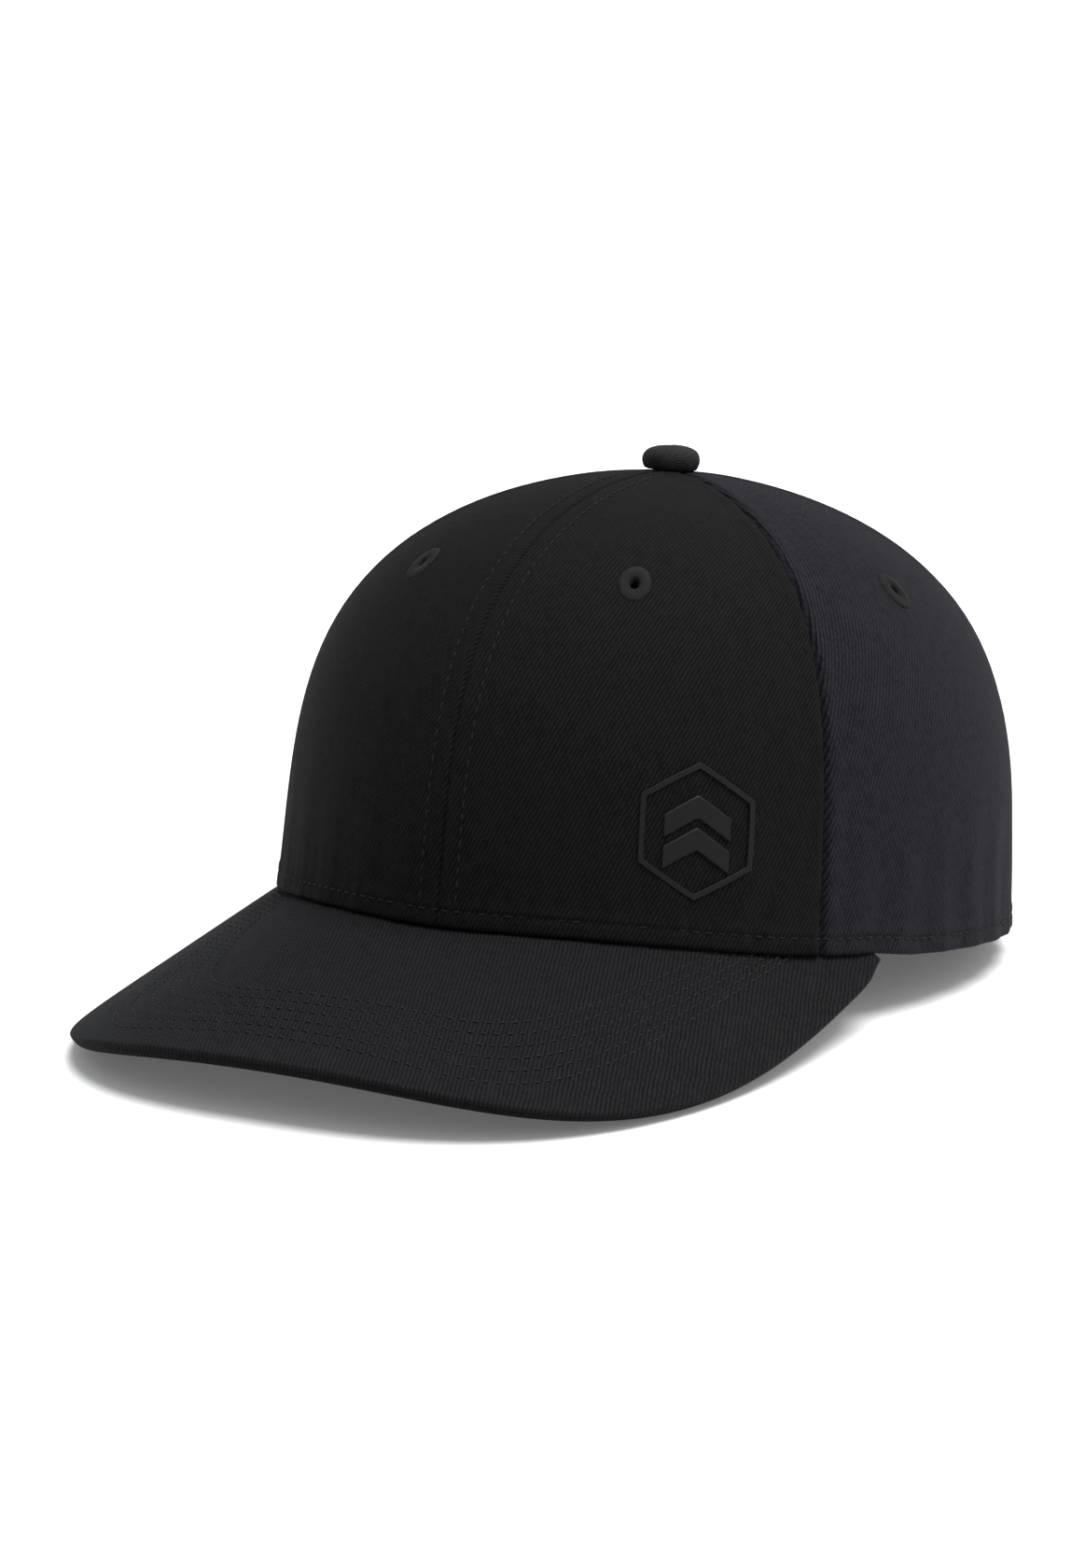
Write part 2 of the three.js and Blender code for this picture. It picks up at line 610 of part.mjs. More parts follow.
function addBadge() {
  const depths = [-(CLEAR + BADGE.film), -CLEAR];
  const ring = (depth) => (u, v) => {
    const angle = Math.PI / 2 + 2 * Math.PI * u;
    const reach = (BADGE.radius - BADGE.line * v) * hexagon(angle - Math.PI / 2);
    return badgePoint(reach * Math.cos(angle), reach * Math.sin(angle), depth);
  };
  addPiece(crown, "badge_ring", sheetSolid(30, 1, ...depths.map(ring), { closed: true }), rubberPrint);
  for (const [name, height] of Object.entries(CHEVRON.heights)) {
    const bar = (depth) => (u, v) => {
      const along = (2 * u - 1) * CHEVRON.reach;
      const up = height - CHEVRON.rise * (Math.abs(2 * u - 1) - 0.5) + CHEVRON.width * (v - 0.5);
      return badgePoint(along, up, depth);
    };
    addPiece(crown, `badge_chevron_${name}`, sheetSolid(6, 1, ...depths.map(bar)), rubberPrint);
  }
}

// ---------- Standing the cap on the floor ----------

// The tilt at which the visor's edge and the back of the hem are equally low.
function restTilt() {
  const steps = [...Array(61).keys()].map((i) => i / 60);
  const edge = steps.map((u) => visorEdge(u, 0)).map(([x, y]) => vec(x, y, visorHeight(x, y) - UNDER_BOTTOM));
  const hem = steps.map((u) => crownSurface(mix(Math.PI / 2, Math.PI, u), 0));
  const lowest = (points, tilt) =>
    Math.min(...points.map((p) => -p.y * Math.sin(tilt) + p.z * Math.cos(tilt)));
  let [low, high] = [0, rad(20)];
  for (let pass = 0; pass < 40; pass++) {
    const middle = (low + high) / 2;
    if (lowest(edge, middle) < lowest(hem, middle)) low = middle;
    else high = middle;
  }
  return (low + high) / 2;
}

addPanels();
addSeamTapes();
addFrontStiffeners();
addSweatband();
addButton();
addVisor();
addShell();
addPads();
addBinding();
addStrap();
addBuckle();
addLever();
addTab();
addBadge();

// The origin is the middle of the box's base.
cap.rotation.x = -restTilt();
cap.updateMatrixWorld(true);
const box = new THREE.Box3().setFromObject(cap, true);
cap.position.set(-(box.min.x + box.max.x) / 2, -(box.min.y + box.max.y) / 2, -box.min.z);

export default cap;
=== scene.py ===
"""A bump cap in black cotton twill: fine surfaces, stitching, trim and materials over its CAD frame.

Shapes are worked out in the cap's own frame, in millimetres: visor towards -Y, wearer's left +X, hem at
z = 0. The joint that turns the strap gives where that frame stands in the row's frame.
"""

import json
import math

import bpy
import numpy as np
from mathutils import Matrix, Vector


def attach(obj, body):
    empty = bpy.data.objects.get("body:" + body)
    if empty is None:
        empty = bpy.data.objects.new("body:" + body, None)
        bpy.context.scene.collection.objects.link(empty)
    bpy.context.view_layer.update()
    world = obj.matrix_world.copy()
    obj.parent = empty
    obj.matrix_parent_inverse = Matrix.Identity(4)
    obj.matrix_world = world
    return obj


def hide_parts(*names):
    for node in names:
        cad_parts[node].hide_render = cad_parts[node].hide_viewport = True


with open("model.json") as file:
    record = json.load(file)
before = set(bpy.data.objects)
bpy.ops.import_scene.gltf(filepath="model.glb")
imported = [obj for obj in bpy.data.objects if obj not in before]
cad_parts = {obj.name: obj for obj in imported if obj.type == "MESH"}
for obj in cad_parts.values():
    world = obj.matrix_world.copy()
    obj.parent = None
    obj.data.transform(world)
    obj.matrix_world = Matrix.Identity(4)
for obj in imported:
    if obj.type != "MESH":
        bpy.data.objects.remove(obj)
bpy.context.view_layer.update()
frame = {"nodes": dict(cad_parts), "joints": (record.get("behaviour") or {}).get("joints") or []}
rng = np.random.default_rng(11)

# ---- Sizes shared with the CAD model, in millimetres and degrees ----
HALF_WIDTH, FRONT_REACH, FRONT_ROUNDNESS = 92.4, 109.7, 1.9
CROWN_HEIGHT, APEX_FORWARD = 111.4, 4.3
RISE_POWER = 0.554
SHRINK_FRONT, SHRINK_SIDE, SHRINK_BACK = 1.091, 1.111, 0.951
WAIST_FRONT, WAIST_REST = 0.011, 0.0196
VISOR_CORNER, VISOR_SLOPE, VISOR_BEND, VISOR_BEND_POWER = 65.7, 0.292, 0.000416, 2.46
VISOR_THICKNESS = 3.8
HEM_CLEAR, HEM_RAMP = 0.5, 8
SEAMS = [0, 57, 120, 180, 240, 303, 360]
EYELETS = [26, 82, 150, 210, 278, 334]
EYELET_HEIGHT = CROWN_HEIGHT - 24.9
FABRIC = 0.9
ARCH_HALF_WIDTH, ARCH_HEIGHT, BINDING_WIDTH = 36, 40, 4.7
STRAP_LOW, STRAP_HIGH, STRAP_FROM, STRAP_TO = 3.5, 22.5, 136, 224
STRAP_DEPTH, STRAP = 2.6, 0.8
BAND_DEPTH, BAND, BAND_HEIGHT = 3.8, 1.2, 34
TAPE_WIDTH, TAPE_DEPTH, TAPE = 12, 1.9, 0.5
SHELL_DEPTH, SHELL = 5.5, 1.8
RIM_HEIGHT, RIM_SWING = 47, 9
VENTS, VENT_HEIGHT, VENT_RADIUS, VENT_STRAIGHT = (26, 60, 96, 129, 231, 264, 300, 334), 78, 3, 7
PAD_DEPTH, PAD = SHELL_DEPTH + SHELL + 0.9, 4.6
TOP_PAD_RADIUS = 40
BUCKLE_FROM, BUCKLE_TO = 178, 194
PIN_ANGLE, LEVER_END, TAB_START, TAB_LAP, TAB_END = 179.4, 190.6, 191.0, 195, 222
TAB_OUTER, TAB_INNER = (0.1, 0.55), (1.85, 2.3)
METAL_DEPTH = 4.7
BADGE_ANGLE, BADGE_HEIGHT = 38, 30.5
CHEVRON_WIDTH, CHEVRON_REACH, CHEVRON_RISE = 5.4, 8.2, 5.2

# ---- The cap's frame in the row's frame ----
strap_joint = next(j for j in frame["joints"] if j["name"] == "strap_adjust")
UP = np.array(strap_joint["axis"])
SIDE = np.array([1.0, 0.0, 0.0])
ORIGIN = np.array(strap_joint["pos_m"])
CAP_AXES = np.array([SIDE, np.cross(UP, SIDE), UP])


def to_row(points):
    return ORIGIN + np.asarray(points) @ CAP_AXES / 1000


# ---------- The crown's surface ----------


def hem_plan(theta):
    c, s = np.cos(theta), np.sin(theta)
    power = 2 / FRONT_ROUNDNESS
    x = np.where(c > 0, HALF_WIDTH * np.sign(s) * np.abs(s) ** power, HALF_WIDTH * s)
    y = np.where(c > 0, -FRONT_REACH * np.maximum(c, 0) ** power, -HALF_WIDTH * c)
    return x, y


def visor_rise(x, y):
    return VISOR_SLOPE * (y + FRONT_REACH) - VISOR_BEND * np.abs(x) ** VISOR_BEND_POWER


CORNER = [float(v) for v in hem_plan(math.radians(VISOR_CORNER))]


def visor_height(x, y):
    return visor_rise(x, y) - visor_rise(*CORNER)


def turn(theta):
    return np.abs((theta + np.pi) % (2 * np.pi) - np.pi)


def hem_height(theta):
    beyond = np.maximum(turn(theta) - math.radians(VISOR_CORNER), 0) / math.radians(HEM_RAMP)
    x, y = hem_plan(theta)
    x, y = np.where(beyond > 0, CORNER[0], x), np.where(beyond > 0, CORNER[1], y)
    inner = 1 - FABRIC / np.hypot(x, y)
    return (visor_height(x * inner, y * inner) + HEM_CLEAR) * np.maximum(1 - beyond, 0)


def crown(theta, climb):
    """The outside of the cloth: theta from the front, climb from 0 at the hem to 90 degrees at the apex."""
    theta, climb = np.broadcast_arrays(theta, climb)
    x, y = hem_plan(theta)
    c = np.cos(theta)
    weight = c * c
    end = np.where(c > 0, SHRINK_FRONT, SHRINK_BACK)
    shrink = np.cos(climb) ** (SHRINK_SIDE + (end - SHRINK_SIDE) * weight)
    rise = np.sin(climb) ** RISE_POWER
    waist = WAIST_REST + np.where(c > 0, (WAIST_FRONT - WAIST_REST) * weight, 0)
    scale = shrink * (1 - 4 * waist * rise * (1 - rise))
    hem = hem_height(theta)
    z = hem + (CROWN_HEIGHT - hem) * rise
    return np.stack([x * scale, y * scale - APEX_FORWARD * (1 - shrink), z], -1)


def unit(v):
    return v / np.maximum(np.linalg.norm(v, axis=-1, keepdims=True), 1e-12)


def crown_normal(theta, climb):
    step = 1e-3
    across = crown(theta + step, climb) - crown(theta - step, climb)
    high = np.minimum(climb + step, np.pi / 2 - 1e-6)
    up = crown(theta, high) - crown(theta, np.maximum(climb - step, 0))
    return unit(np.cross(across, up))


def crown_at(theta, climb, depth):
    depth = np.asarray(depth, float)
    return crown(theta, climb) - crown_normal(theta, climb) * depth[..., None]


def climb_at(theta, height):
    hem = hem_height(theta)
    rise = np.clip((height - hem) / (CROWN_HEIGHT - hem), 0, 1)
    return np.arcsin(rise ** (1 / RISE_POWER))


def width_per_radian(theta, climb):
    return np.linalg.norm(crown(theta + 1e-3, climb) - crown(theta - 1e-3, climb), axis=-1) / 2e-3


def climb_at_radius(radius):
    return math.acos((radius / HALF_WIDTH) ** (1 / SHRINK_SIDE))


def crown_near(angle, height, along, up, depth):
    """A point so many millimetres along and up from a centre on the crown."""
    theta = math.radians(angle)
    climb = climb_at(theta, height + up)
    return crown_at(theta + along / width_per_radian(theta, climb), climb, depth)


def back_radius(height, depth):
    return crown_at(np.pi + 0 * height, climb_at(np.pi, height), depth + 0 * height)[..., 1]


def back_point(angle, height, depth):
    angle, height, depth = np.broadcast_arrays(angle, np.asarray(height, float), np.asarray(depth, float))
    radius = back_radius(height, depth)
    theta = np.radians(angle)
    return np.stack([radius * np.sin(theta), -radius * np.cos(theta), height], -1)


def ripple(u, v, size, seed):
    """Smooth irregular waves between about -1 and 1, for cloth that isn't perfectly even."""
    waves = np.random.default_rng(seed)
    total = 0
    for _ in range(5):
        heading, phase = waves.uniform(0, 2 * np.pi, 2)
        length = size * waves.uniform(0.6, 1.7)
        total = total + np.sin(2 * np.pi * (u * np.cos(heading) + v * np.sin(heading)) / length + phase)
    return total / 3


def bell(distance, width):
    return np.exp(-((distance / width) ** 2))


def smooth(low, high, x):
    t = np.clip((x - low) / (high - low), 0, 1)
    return t * t * (3 - 2 * t)


# ---------- Mesh makers ----------


def make_object(name, points, faces, uvs, material):
    """An object from points in the cap's frame, and uvs in millimetres for each point."""
    mesh = bpy.data.meshes.new(name)
    mesh.from_pydata(to_row(points).tolist(), [], [list(map(int, f)) for f in faces])
    layer = mesh.uv_layers.new(name="cloth")
    loops = np.zeros(len(mesh.loops), int)
    mesh.loops.foreach_get("vertex_index", loops)
    layer.data.foreach_set("uv", np.asarray(uvs, float)[loops].ravel())
    mesh.shade_smooth()
    obj = bpy.data.objects.new(name, mesh)
    bpy.context.scene.collection.objects.link(obj)
    if material:
        mesh.materials.append(material)
    face_outwards(obj)
    return obj


def face_outwards(obj):
    """Turns the faces of a closed mesh outwards."""
    co = np.zeros(len(obj.data.vertices) * 3)
    obj.data.vertices.foreach_get("co", co)
    co = co.reshape(-1, 3)
    obj.data.calc_loop_triangles()
    tri = np.zeros(len(obj.data.loop_triangles) * 3, int)
    obj.data.loop_triangles.foreach_get("vertices", tri)
    a, b, c = (co[tri.reshape(-1, 3)[:, k]] for k in range(3))
    if np.einsum("ij,ij->", a, np.cross(b, c)) < 0:
        obj.data.flip_normals()


def sheet(name, face, back, uv, material, closed=False, poles=False):
    """A closed solid between two grids of points [row, column]. closed joins the last column to the first."""
    rows, cols = face.shape[:2]
    points = np.concatenate([face.reshape(-1, 3), back.reshape(-1, 3)])
    uvs = np.concatenate([uv.reshape(-1, 2)] * 2)
    count = rows * cols
    j, i = np.meshgrid(np.arange(rows - 1), np.arange(cols if closed else cols - 1), indexing="ij")
    i, j = i.ravel(), j.ravel()
    k = (i + 1) % cols
    front = np.stack([j * cols + i, j * cols + k, (j + 1) * cols + k, (j + 1) * cols + i], 1)
    faces = [front, front[:, ::-1] + count]
    edge = np.arange(cols if closed else cols - 1)
    after = (edge + 1) % cols
    top = (rows - 1) * cols
    faces.append(np.stack([edge, edge + count, after + count, after], 1))
    if not poles:
        faces.append(np.stack([top + edge, top + after, top + after + count, top + edge + count], 1))
    if not closed:
        side = np.arange(rows - 1) * cols
        last = side + cols - 1
        faces.append(np.stack([side, side + cols, side + cols + count, side + count], 1))
        faces.append(np.stack([last, last + count, last + cols + count, last + cols], 1))
    faces = np.concatenate(faces).tolist()
    if poles:
        middles = [face[-1].mean(0), back[-1].mean(0)]
        points = np.concatenate([points, middles])
        uvs = np.concatenate([uvs, [uv[-1].mean(0)] * 2])
        for a, b in zip(edge, after):
            faces.append([top + a, top + b, 2 * count])
            faces.append([top + b + count, top + a + count, 2 * count + 1])
    return make_object(name, points, faces, uvs, material)


def tube(name, rings, uv, material, closed=False):
    """A solid through rings of points [ring, point]; closed joins the last ring to the first."""
    count, sides = rings.shape[:2]
    spans = count if closed else count - 1
    i, k = np.meshgrid(np.arange(spans), np.arange(sides), indexing="ij")
    i, k = i.ravel(), k.ravel()
    after, turned = (i + 1) % count, (k + 1) % sides
    near, far = i * sides, after * sides
    faces = np.stack([near + k, far + k, far + turned, near + turned], 1).tolist()
    if not closed:
        faces.append(list(range(sides)))
        faces.append([(count - 1) * sides + s for s in reversed(range(sides))])
    return make_object(name, rings.reshape(-1, 3), faces, uv.reshape(-1, 2), material)


def rounded_section(width, thick, radius, steps=4, along=1):
    """Points round a rectangle with rounded corners, as (across, depth) from its middle."""
    corners = []
    radius = min(radius, width / 2, thick / 2)
    for cx, cy, start in ((1, 1, 0), (-1, 1, 90), (-1, -1, 180), (1, -1, 270)):
        angles = np.radians(start + np.linspace(0, 90, steps + 1))
        arc = np.stack([np.cos(angles), np.sin(angles)], 1) * radius
        corners.append(arc + [cx * (width / 2 - radius), cy * (thick / 2 - radius)])
    ring = np.concatenate(corners)
    if along == 1:
        return ring
    straight = np.linspace(-width / 2 + radius, width / 2 - radius, along + 1)[1:-1]
    top = np.stack([straight[::-1], np.full(len(straight), thick / 2)], 1)
    low = np.stack([straight, np.full(len(straight), -thick / 2)], 1)
    half = steps + 1
    return np.concatenate([ring[:half], top, ring[half : 3 * half], low, ring[3 * half :]])


def swept(name, stations, section, place, material, closed=False):
    """A section carried along stations by place(station, across, depth)."""
    rings = np.stack([place(s, section[:, 0], section[:, 1]) for s in stations])
    run = np.linalg.norm(np.diff(rings.mean(1), axis=0), axis=1)
    length = np.concatenate([[0], np.cumsum(run)])
    uv = np.stack(np.broadcast_arrays(length[:, None], section[None, :, 0]), -1)
    return tube(name, rings, uv, material, closed)


def back_strip(name, angles, low, high, outer, inner, material, radius=0.3, along=1):
    """A band of the round back between two heights and two depths, with rounded edges."""
    section = rounded_section(high - low, inner - outer, radius, along=along)
    middle, depth = (low + high) / 2, (outer + inner) / 2

    def place(angle, across, deep):
        return back_point(angle, middle + across, depth + deep)

    return swept(name, angles, section, place, material)


def resample(path, step):
    run = np.concatenate([[0], np.cumsum(np.linalg.norm(np.diff(path, axis=0), axis=1))])
    count = max(int(run[-1] / step), 1)
    at = np.linspace(0, run[-1], count + 1)
    return np.stack([np.interp(at, run, path[:, k]) for k in range(path.shape[1])], 1)


def stitches(name, rows, material, pitch=3.2, length=2.5, radius=0.24, proud=0.14):
    """Threads lying on the cloth along rows of (point, normal) pairs; their ends dive into it."""
    points, faces, uvs = [], [], []
    sides, rings, step = 6, 6, 0.4
    ring_at = np.linspace(-1, 1, rings)
    around = np.linspace(0, 2 * np.pi, sides, endpoint=False)
    for path in rows:
        fine = resample(path, step)
        per_stitch = pitch / step
        for n in range(int(len(fine) / per_stitch)):
            middle = (n + 0.5) * per_stitch
            half = length / 2 / step * rng.uniform(0.92, 1.05)
            at = np.clip(middle + ring_at * half, 0, len(fine) - 1)
            low = np.minimum(at.astype(int), len(fine) - 2)
            part = (at - low)[:, None]
            spot = fine[low] * (1 - part) + fine[low + 1] * part
            centre, normal = spot[:, :3], unit(spot[:, 3:])
            run = unit(np.gradient(centre, axis=0))
            side = unit(np.cross(run, normal))
            skew = ring_at[:, None] * side * rng.uniform(-0.1, 0.1)
            lift = proud - (proud + 0.45) * np.abs(ring_at[:, None]) ** 3
            centre = centre + normal * lift + skew
            size = radius * (1 - 0.35 * np.abs(ring_at) ** 4)[:, None, None]
            flat, tall = np.cos(around)[None, :, None], 0.8 * np.sin(around)[None, :, None]
            loop = flat * side[:, None] + tall * normal[:, None]
            start = len(points) * rings * sides
            points.append((centre[:, None] + loop * size).reshape(-1, 3))
            uv = np.broadcast_arrays(ring_at[:, None] * length / 2, around[None] * radius)
            uvs.append(np.stack(uv, -1).reshape(-1, 2))
            for i in range(rings - 1):
                for k in range(sides):
                    a, b = start + i * sides + k, start + i * sides + (k + 1) % sides
                    faces.append([a, a + sides, b + sides, b])
            faces.append([start + k for k in range(sides)])
            faces.append([start + (rings - 1) * sides + k for k in reversed(range(sides))])
    return make_object(name, np.concatenate(points), faces, np.concatenate(uvs), material)


def cut_out(obj, cutters):
    """Cuts closed shapes out of a piece, and removes them."""
    for cutter in cutters:
        modifier = obj.modifiers.new("cut", "BOOLEAN")
        modifier.object = cutter
        modifier.solver = "EXACT"
    made = bpy.data.meshes.new_from_object(obj.evaluated_get(bpy.context.evaluated_depsgraph_get()))
    obj.modifiers.clear()
    obj.data = made
    for cutter in cutters:
        bpy.data.objects.remove(cutter)


# ---------- Materials ----------


FLOAT_LENGTH = 2.4  # of a thread in the twill before it dives under, in millimetres


class Nodes:
    """Builds one material's node tree with short calls."""

    def __init__(self, name):
        self.material = bpy.data.materials.new(name)
        self.material.use_nodes = True
        self.tree = self.material.node_tree
        self.shader = self.tree.nodes["Principled BSDF"]
        self.place = self.add("ShaderNodeTexCoord").outputs["Object"]

    def add(self, kind, **settings):
        node = self.tree.nodes.new(kind)
        for key, value in settings.items():
            setattr(node, key, value)
        return node

    def plug(self, value, socket):
        if isinstance(value, bpy.types.NodeSocket):
            self.tree.links.new(value, socket)
        else:
            socket.default_value = value

    def math(self, operation, a, b=0.0, clamp=False):
        node = self.add("ShaderNodeMath", operation=operation, use_clamp=clamp)
        self.plug(a, node.inputs[0])
        self.plug(b, node.inputs[1])
        return node.outputs[0]

    def times(self, a, b, clamp=False):
        return self.math("MULTIPLY", a, b, clamp)

    def plus(self, a, b, clamp=False):
        return self.math("ADD", a, b, clamp)

    def waves(self, value):
        """Rounded ridges, one for each pi of value."""
        return self.math("ABSOLUTE", self.math("SINE", value))

    def uv(self):
        split = self.add("ShaderNodeSeparateXYZ")
        self.plug(self.add("ShaderNodeUVMap", uv_map="cloth").outputs["UV"], split.inputs[0])
        return split.outputs[0], split.outputs[1]

    def noise(self, scale, detail=2.0, roughness=0.5, vector=None):
        node = self.add("ShaderNodeTexNoise")
        self.plug(vector or self.place, node.inputs["Vector"])
        node.inputs["Scale"].default_value = scale
        node.inputs["Detail"].default_value = detail
        node.inputs["Roughness"].default_value = roughness
        return node.outputs["Fac"]

    def blend(self, factor, low, high):
        node = self.add("ShaderNodeMix", data_type="RGBA")
        self.plug(factor, node.inputs["Factor"])
        node.inputs[6].default_value = (*low, 1)
        node.inputs[7].default_value = (*high, 1)
        return node.outputs[2]

    def span(self, value, low, high):
        node = self.add("ShaderNodeMapRange")
        self.plug(value, node.inputs["Value"])
        node.inputs["To Min"].default_value = low
        node.inputs["To Max"].default_value = high
        return node.outputs["Result"]

    def bump(self, height, distance, strength=1.0, after=None):
        node = self.add("ShaderNodeBump")
        node.inputs["Distance"].default_value = distance
        node.inputs["Strength"].default_value = strength
        self.plug(height, node.inputs["Height"])
        if after is not None:
            self.plug(after, node.inputs["Normal"])
        return node.outputs["Normal"]

    def finish(self, **sockets):
        for key, value in sockets.items():
            self.plug(value, self.shader.inputs[key.replace("_", " ")])
        return self.material


def woven(name, dark, light, slant, pitch=0.95, relief=0.00022, sheen=0.015):
    """Twill: ridges at a slant from the vertical, broken into floats of thread, with fuzz, lint and slubs."""
    n = Nodes(name)
    u, v = n.uv()
    run = math.radians(slant)

    def slanted(cos, sin, length):
        return n.plus(n.times(u, cos / length), n.times(v, sin / length))

    wobble = n.times(n.math("SUBTRACT", n.noise(130, 3.0), 0.5), 1.1)
    across = n.plus(slanted(math.cos(run), math.sin(run), pitch), wobble)
    along = slanted(-math.sin(run), math.cos(run), FLOAT_LENGTH)
    along = n.plus(along, n.times(n.math("FLOOR", across), 0.38))
    ridge = n.waves(n.times(across, math.pi))
    floats = n.waves(n.times(along, math.pi))
    fuzz = n.noise(2600)
    lint = n.noise(1100, 3.0, 0.7)
    patches = n.span(n.noise(22, 3.0, 0.6), 0.3, 0.62)
    slubs = n.span(n.noise(420, 3.0, 0.7), 0.1, 1.9)
    height = n.times(n.math("POWER", ridge, 0.7), n.span(floats, 0.68, 1.0))
    height = n.plus(height, n.times(n.plus(fuzz, lint), 0.55))
    # Painted shade: the colour darkens down into the grooves between the ridges and floats, and random
    # patches and slubs vary it.
    groove_shade_and_tone = n.times(n.math("POWER", height, 2.6), patches, clamp=True)
    groove_shade_and_tone = n.times(groove_shade_and_tone, slubs, clamp=True)
    return n.finish(
        Base_Color=n.blend(groove_shade_and_tone, dark, light),
        Roughness=n.span(fuzz, 0.72, 0.92),
        Normal=n.bump(height, relief, 1.0),
        Specular_IOR_Level=0.06,
        Sheen_Weight=sheen,
        Sheen_Roughness=0.4,
        Sheen_Tint=(0.8, 0.85, 1.0, 1),
    )


def plain_cloth(name, dark, light, scale=1600, relief=0.00012, sheen=0.03, rough=(0.75, 0.95)):
    """Fine plain weave or foam-backed cloth, from two crossed waves and noise; it needs no uvs."""
    n = Nodes(name)
    first = n.add("ShaderNodeTexWave", wave_type="BANDS", bands_direction="X")
    second = n.add("ShaderNodeTexWave", wave_type="BANDS", bands_direction="Z")
    for wave in (first, second):
        n.plug(n.place, wave.inputs["Vector"])
        wave.inputs["Scale"].default_value = scale / 6.3
        wave.inputs["Distortion"].default_value = 0.8
    grid = n.times(first.outputs["Fac"], second.outputs["Fac"])
    fuzz = n.noise(scale)
    height = n.plus(grid, n.times(fuzz, 0.5))
    # Painted shade: the colour is darker in the low parts of the weave, and the broad noise adds random tone.
    groove_shade_and_tone = n.plus(n.times(height, 0.4), n.times(n.noise(35, 3.0), 0.4), clamp=True)
    return n.finish(
        Base_Color=n.blend(groove_shade_and_tone, dark, light),
        Roughness=n.span(fuzz, *rough),
        Normal=n.bump(height, relief, 0.8),
        Specular_IOR_Level=0.12,
        Sheen_Weight=sheen,
        Sheen_Roughness=0.5,
    )


def threads(name, dark, light):
    n = Nodes(name)
    u, v = n.uv()
    ply = n.waves(n.plus(n.times(u, 9.0), n.times(v, 12.0)))
    # Painted shade: the colour is darker in the grooves between the plies, and the noise adds random tone.
    groove_shade_and_tone = n.times(n.plus(ply, n.noise(300)), 0.5)
    return n.finish(
        Base_Color=n.blend(groove_shade_and_tone, dark, light),
        Roughness=n.span(ply, 0.5, 0.7),
        Normal=n.bump(ply, 0.00008, 0.7),
        Specular_IOR_Level=0.15,
        Sheen_Weight=0.03,
        Sheen_Roughness=0.4,
    )


def moulded(name, dark, light, rough, grain=900, relief=0.00005, specular=0.5):
    n = Nodes(name)
    fine = n.noise(grain, 3.0, 0.6)
    broad = n.noise(30, 3.0)
    return n.finish(
        Base_Color=n.blend(broad, dark, light),
        Roughness=n.span(n.times(n.plus(fine, broad), 0.5), rough - 0.08, rough + 0.1),
        Normal=n.bump(fine, relief, 0.5),
        Specular_IOR_Level=specular,
    )


def brushed_metal(name, dark, light):
    n = Nodes(name)
    stretch = n.add("ShaderNodeMapping")
    stretch.inputs["Scale"].default_value = (60, 60, 2400)
    n.plug(n.place, stretch.inputs["Vector"])
    lines = n.noise(1.0, 3.0, 0.6, stretch.outputs["Vector"])
    wear = n.noise(180, 4.0, 0.6)
    return n.finish(
        Base_Color=n.blend(wear, dark, light),
        Metallic=1.0,
        Roughness=n.span(n.times(n.plus(lines, wear), 0.5), 0.24, 0.48),
        Normal=n.bump(lines, 0.00003, 0.4),
    )


def grey(level):
    return (level, level, level)


# The front panels are of the same cloth as the side panels: this darker copy paints the front's shade into
# the colour.
SHADED_FRONT_TWILL = woven("front_twill_painted_shade", grey(0.0002), grey(0.0072), -26, sheen=0.006)
SIDE_TWILL = woven("side_twill", (0.0006, 0.0006, 0.0009), (0.0136, 0.0131, 0.017), -26)
VISOR_TWILL = woven("visor_twill", (0.0003, 0.0003, 0.0004), (0.0092, 0.0093, 0.0101), 23)
# The visor's under cover is of the same cloth as its top: this darker copy paints the shade of the
# downward-facing edge and underside into the colour.
SHADED_UNDER_TWILL = woven("visor_under_twill_painted_shade", grey(0.0002), (0.0028, 0.0028, 0.003), 23)
BUTTON_TWILL = woven("button_twill", grey(0.0025), grey(0.026), -40, pitch=0.7, relief=0.00006)
STRAP_TWILL = woven("strap_twill", (0.004, 0.004, 0.005), (0.018, 0.018, 0.021), 30, pitch=0.8)
TAPE_CLOTH = woven("tape_cloth", (0.005, 0.005, 0.006), (0.02, 0.02, 0.023), 62, pitch=1.1, relief=0.00015)
INNER_CLOTH = plain_cloth("sweatband_cloth", (0.006, 0.006, 0.0065), (0.018, 0.018, 0.02), scale=2000)
PAD_CLOTH = plain_cloth("pad_cloth", (0.009, 0.009, 0.01), (0.03, 0.03, 0.033), 1500, 0.0002, 0.05)
SCRIM = plain_cloth(
    "buckram_scrim", (0.008, 0.008, 0.009), (0.03, 0.03, 0.032), 700, 0.0003, 0.02, rough=(0.6, 0.85)
)
THREAD = threads("black_thread", grey(0.0015), grey(0.0095))
VISOR_THREAD = threads("visor_thread", grey(0.003), (0.019, 0.019, 0.02))
SATIN_THREAD = threads("eyelet_thread", grey(0.001), grey(0.0075))
PRINT = moulded("rubber_print", grey(0.003), grey(0.0045), 0.5, grain=1500, specular=0.16)
SHELL_PLASTIC = moulded("shell_plastic", (0.012, 0.013, 0.014), (0.02, 0.021, 0.023), 0.42, relief=0.00004)
METAL = brushed_metal("dark_metal", (0.07, 0.07, 0.075), (0.16, 0.16, 0.165))


def dress(obj, body, slot, *nodes):
    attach(obj, body)
    if nodes:
        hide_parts(*nodes)
    return obj


# ---------- Crown panels ----------

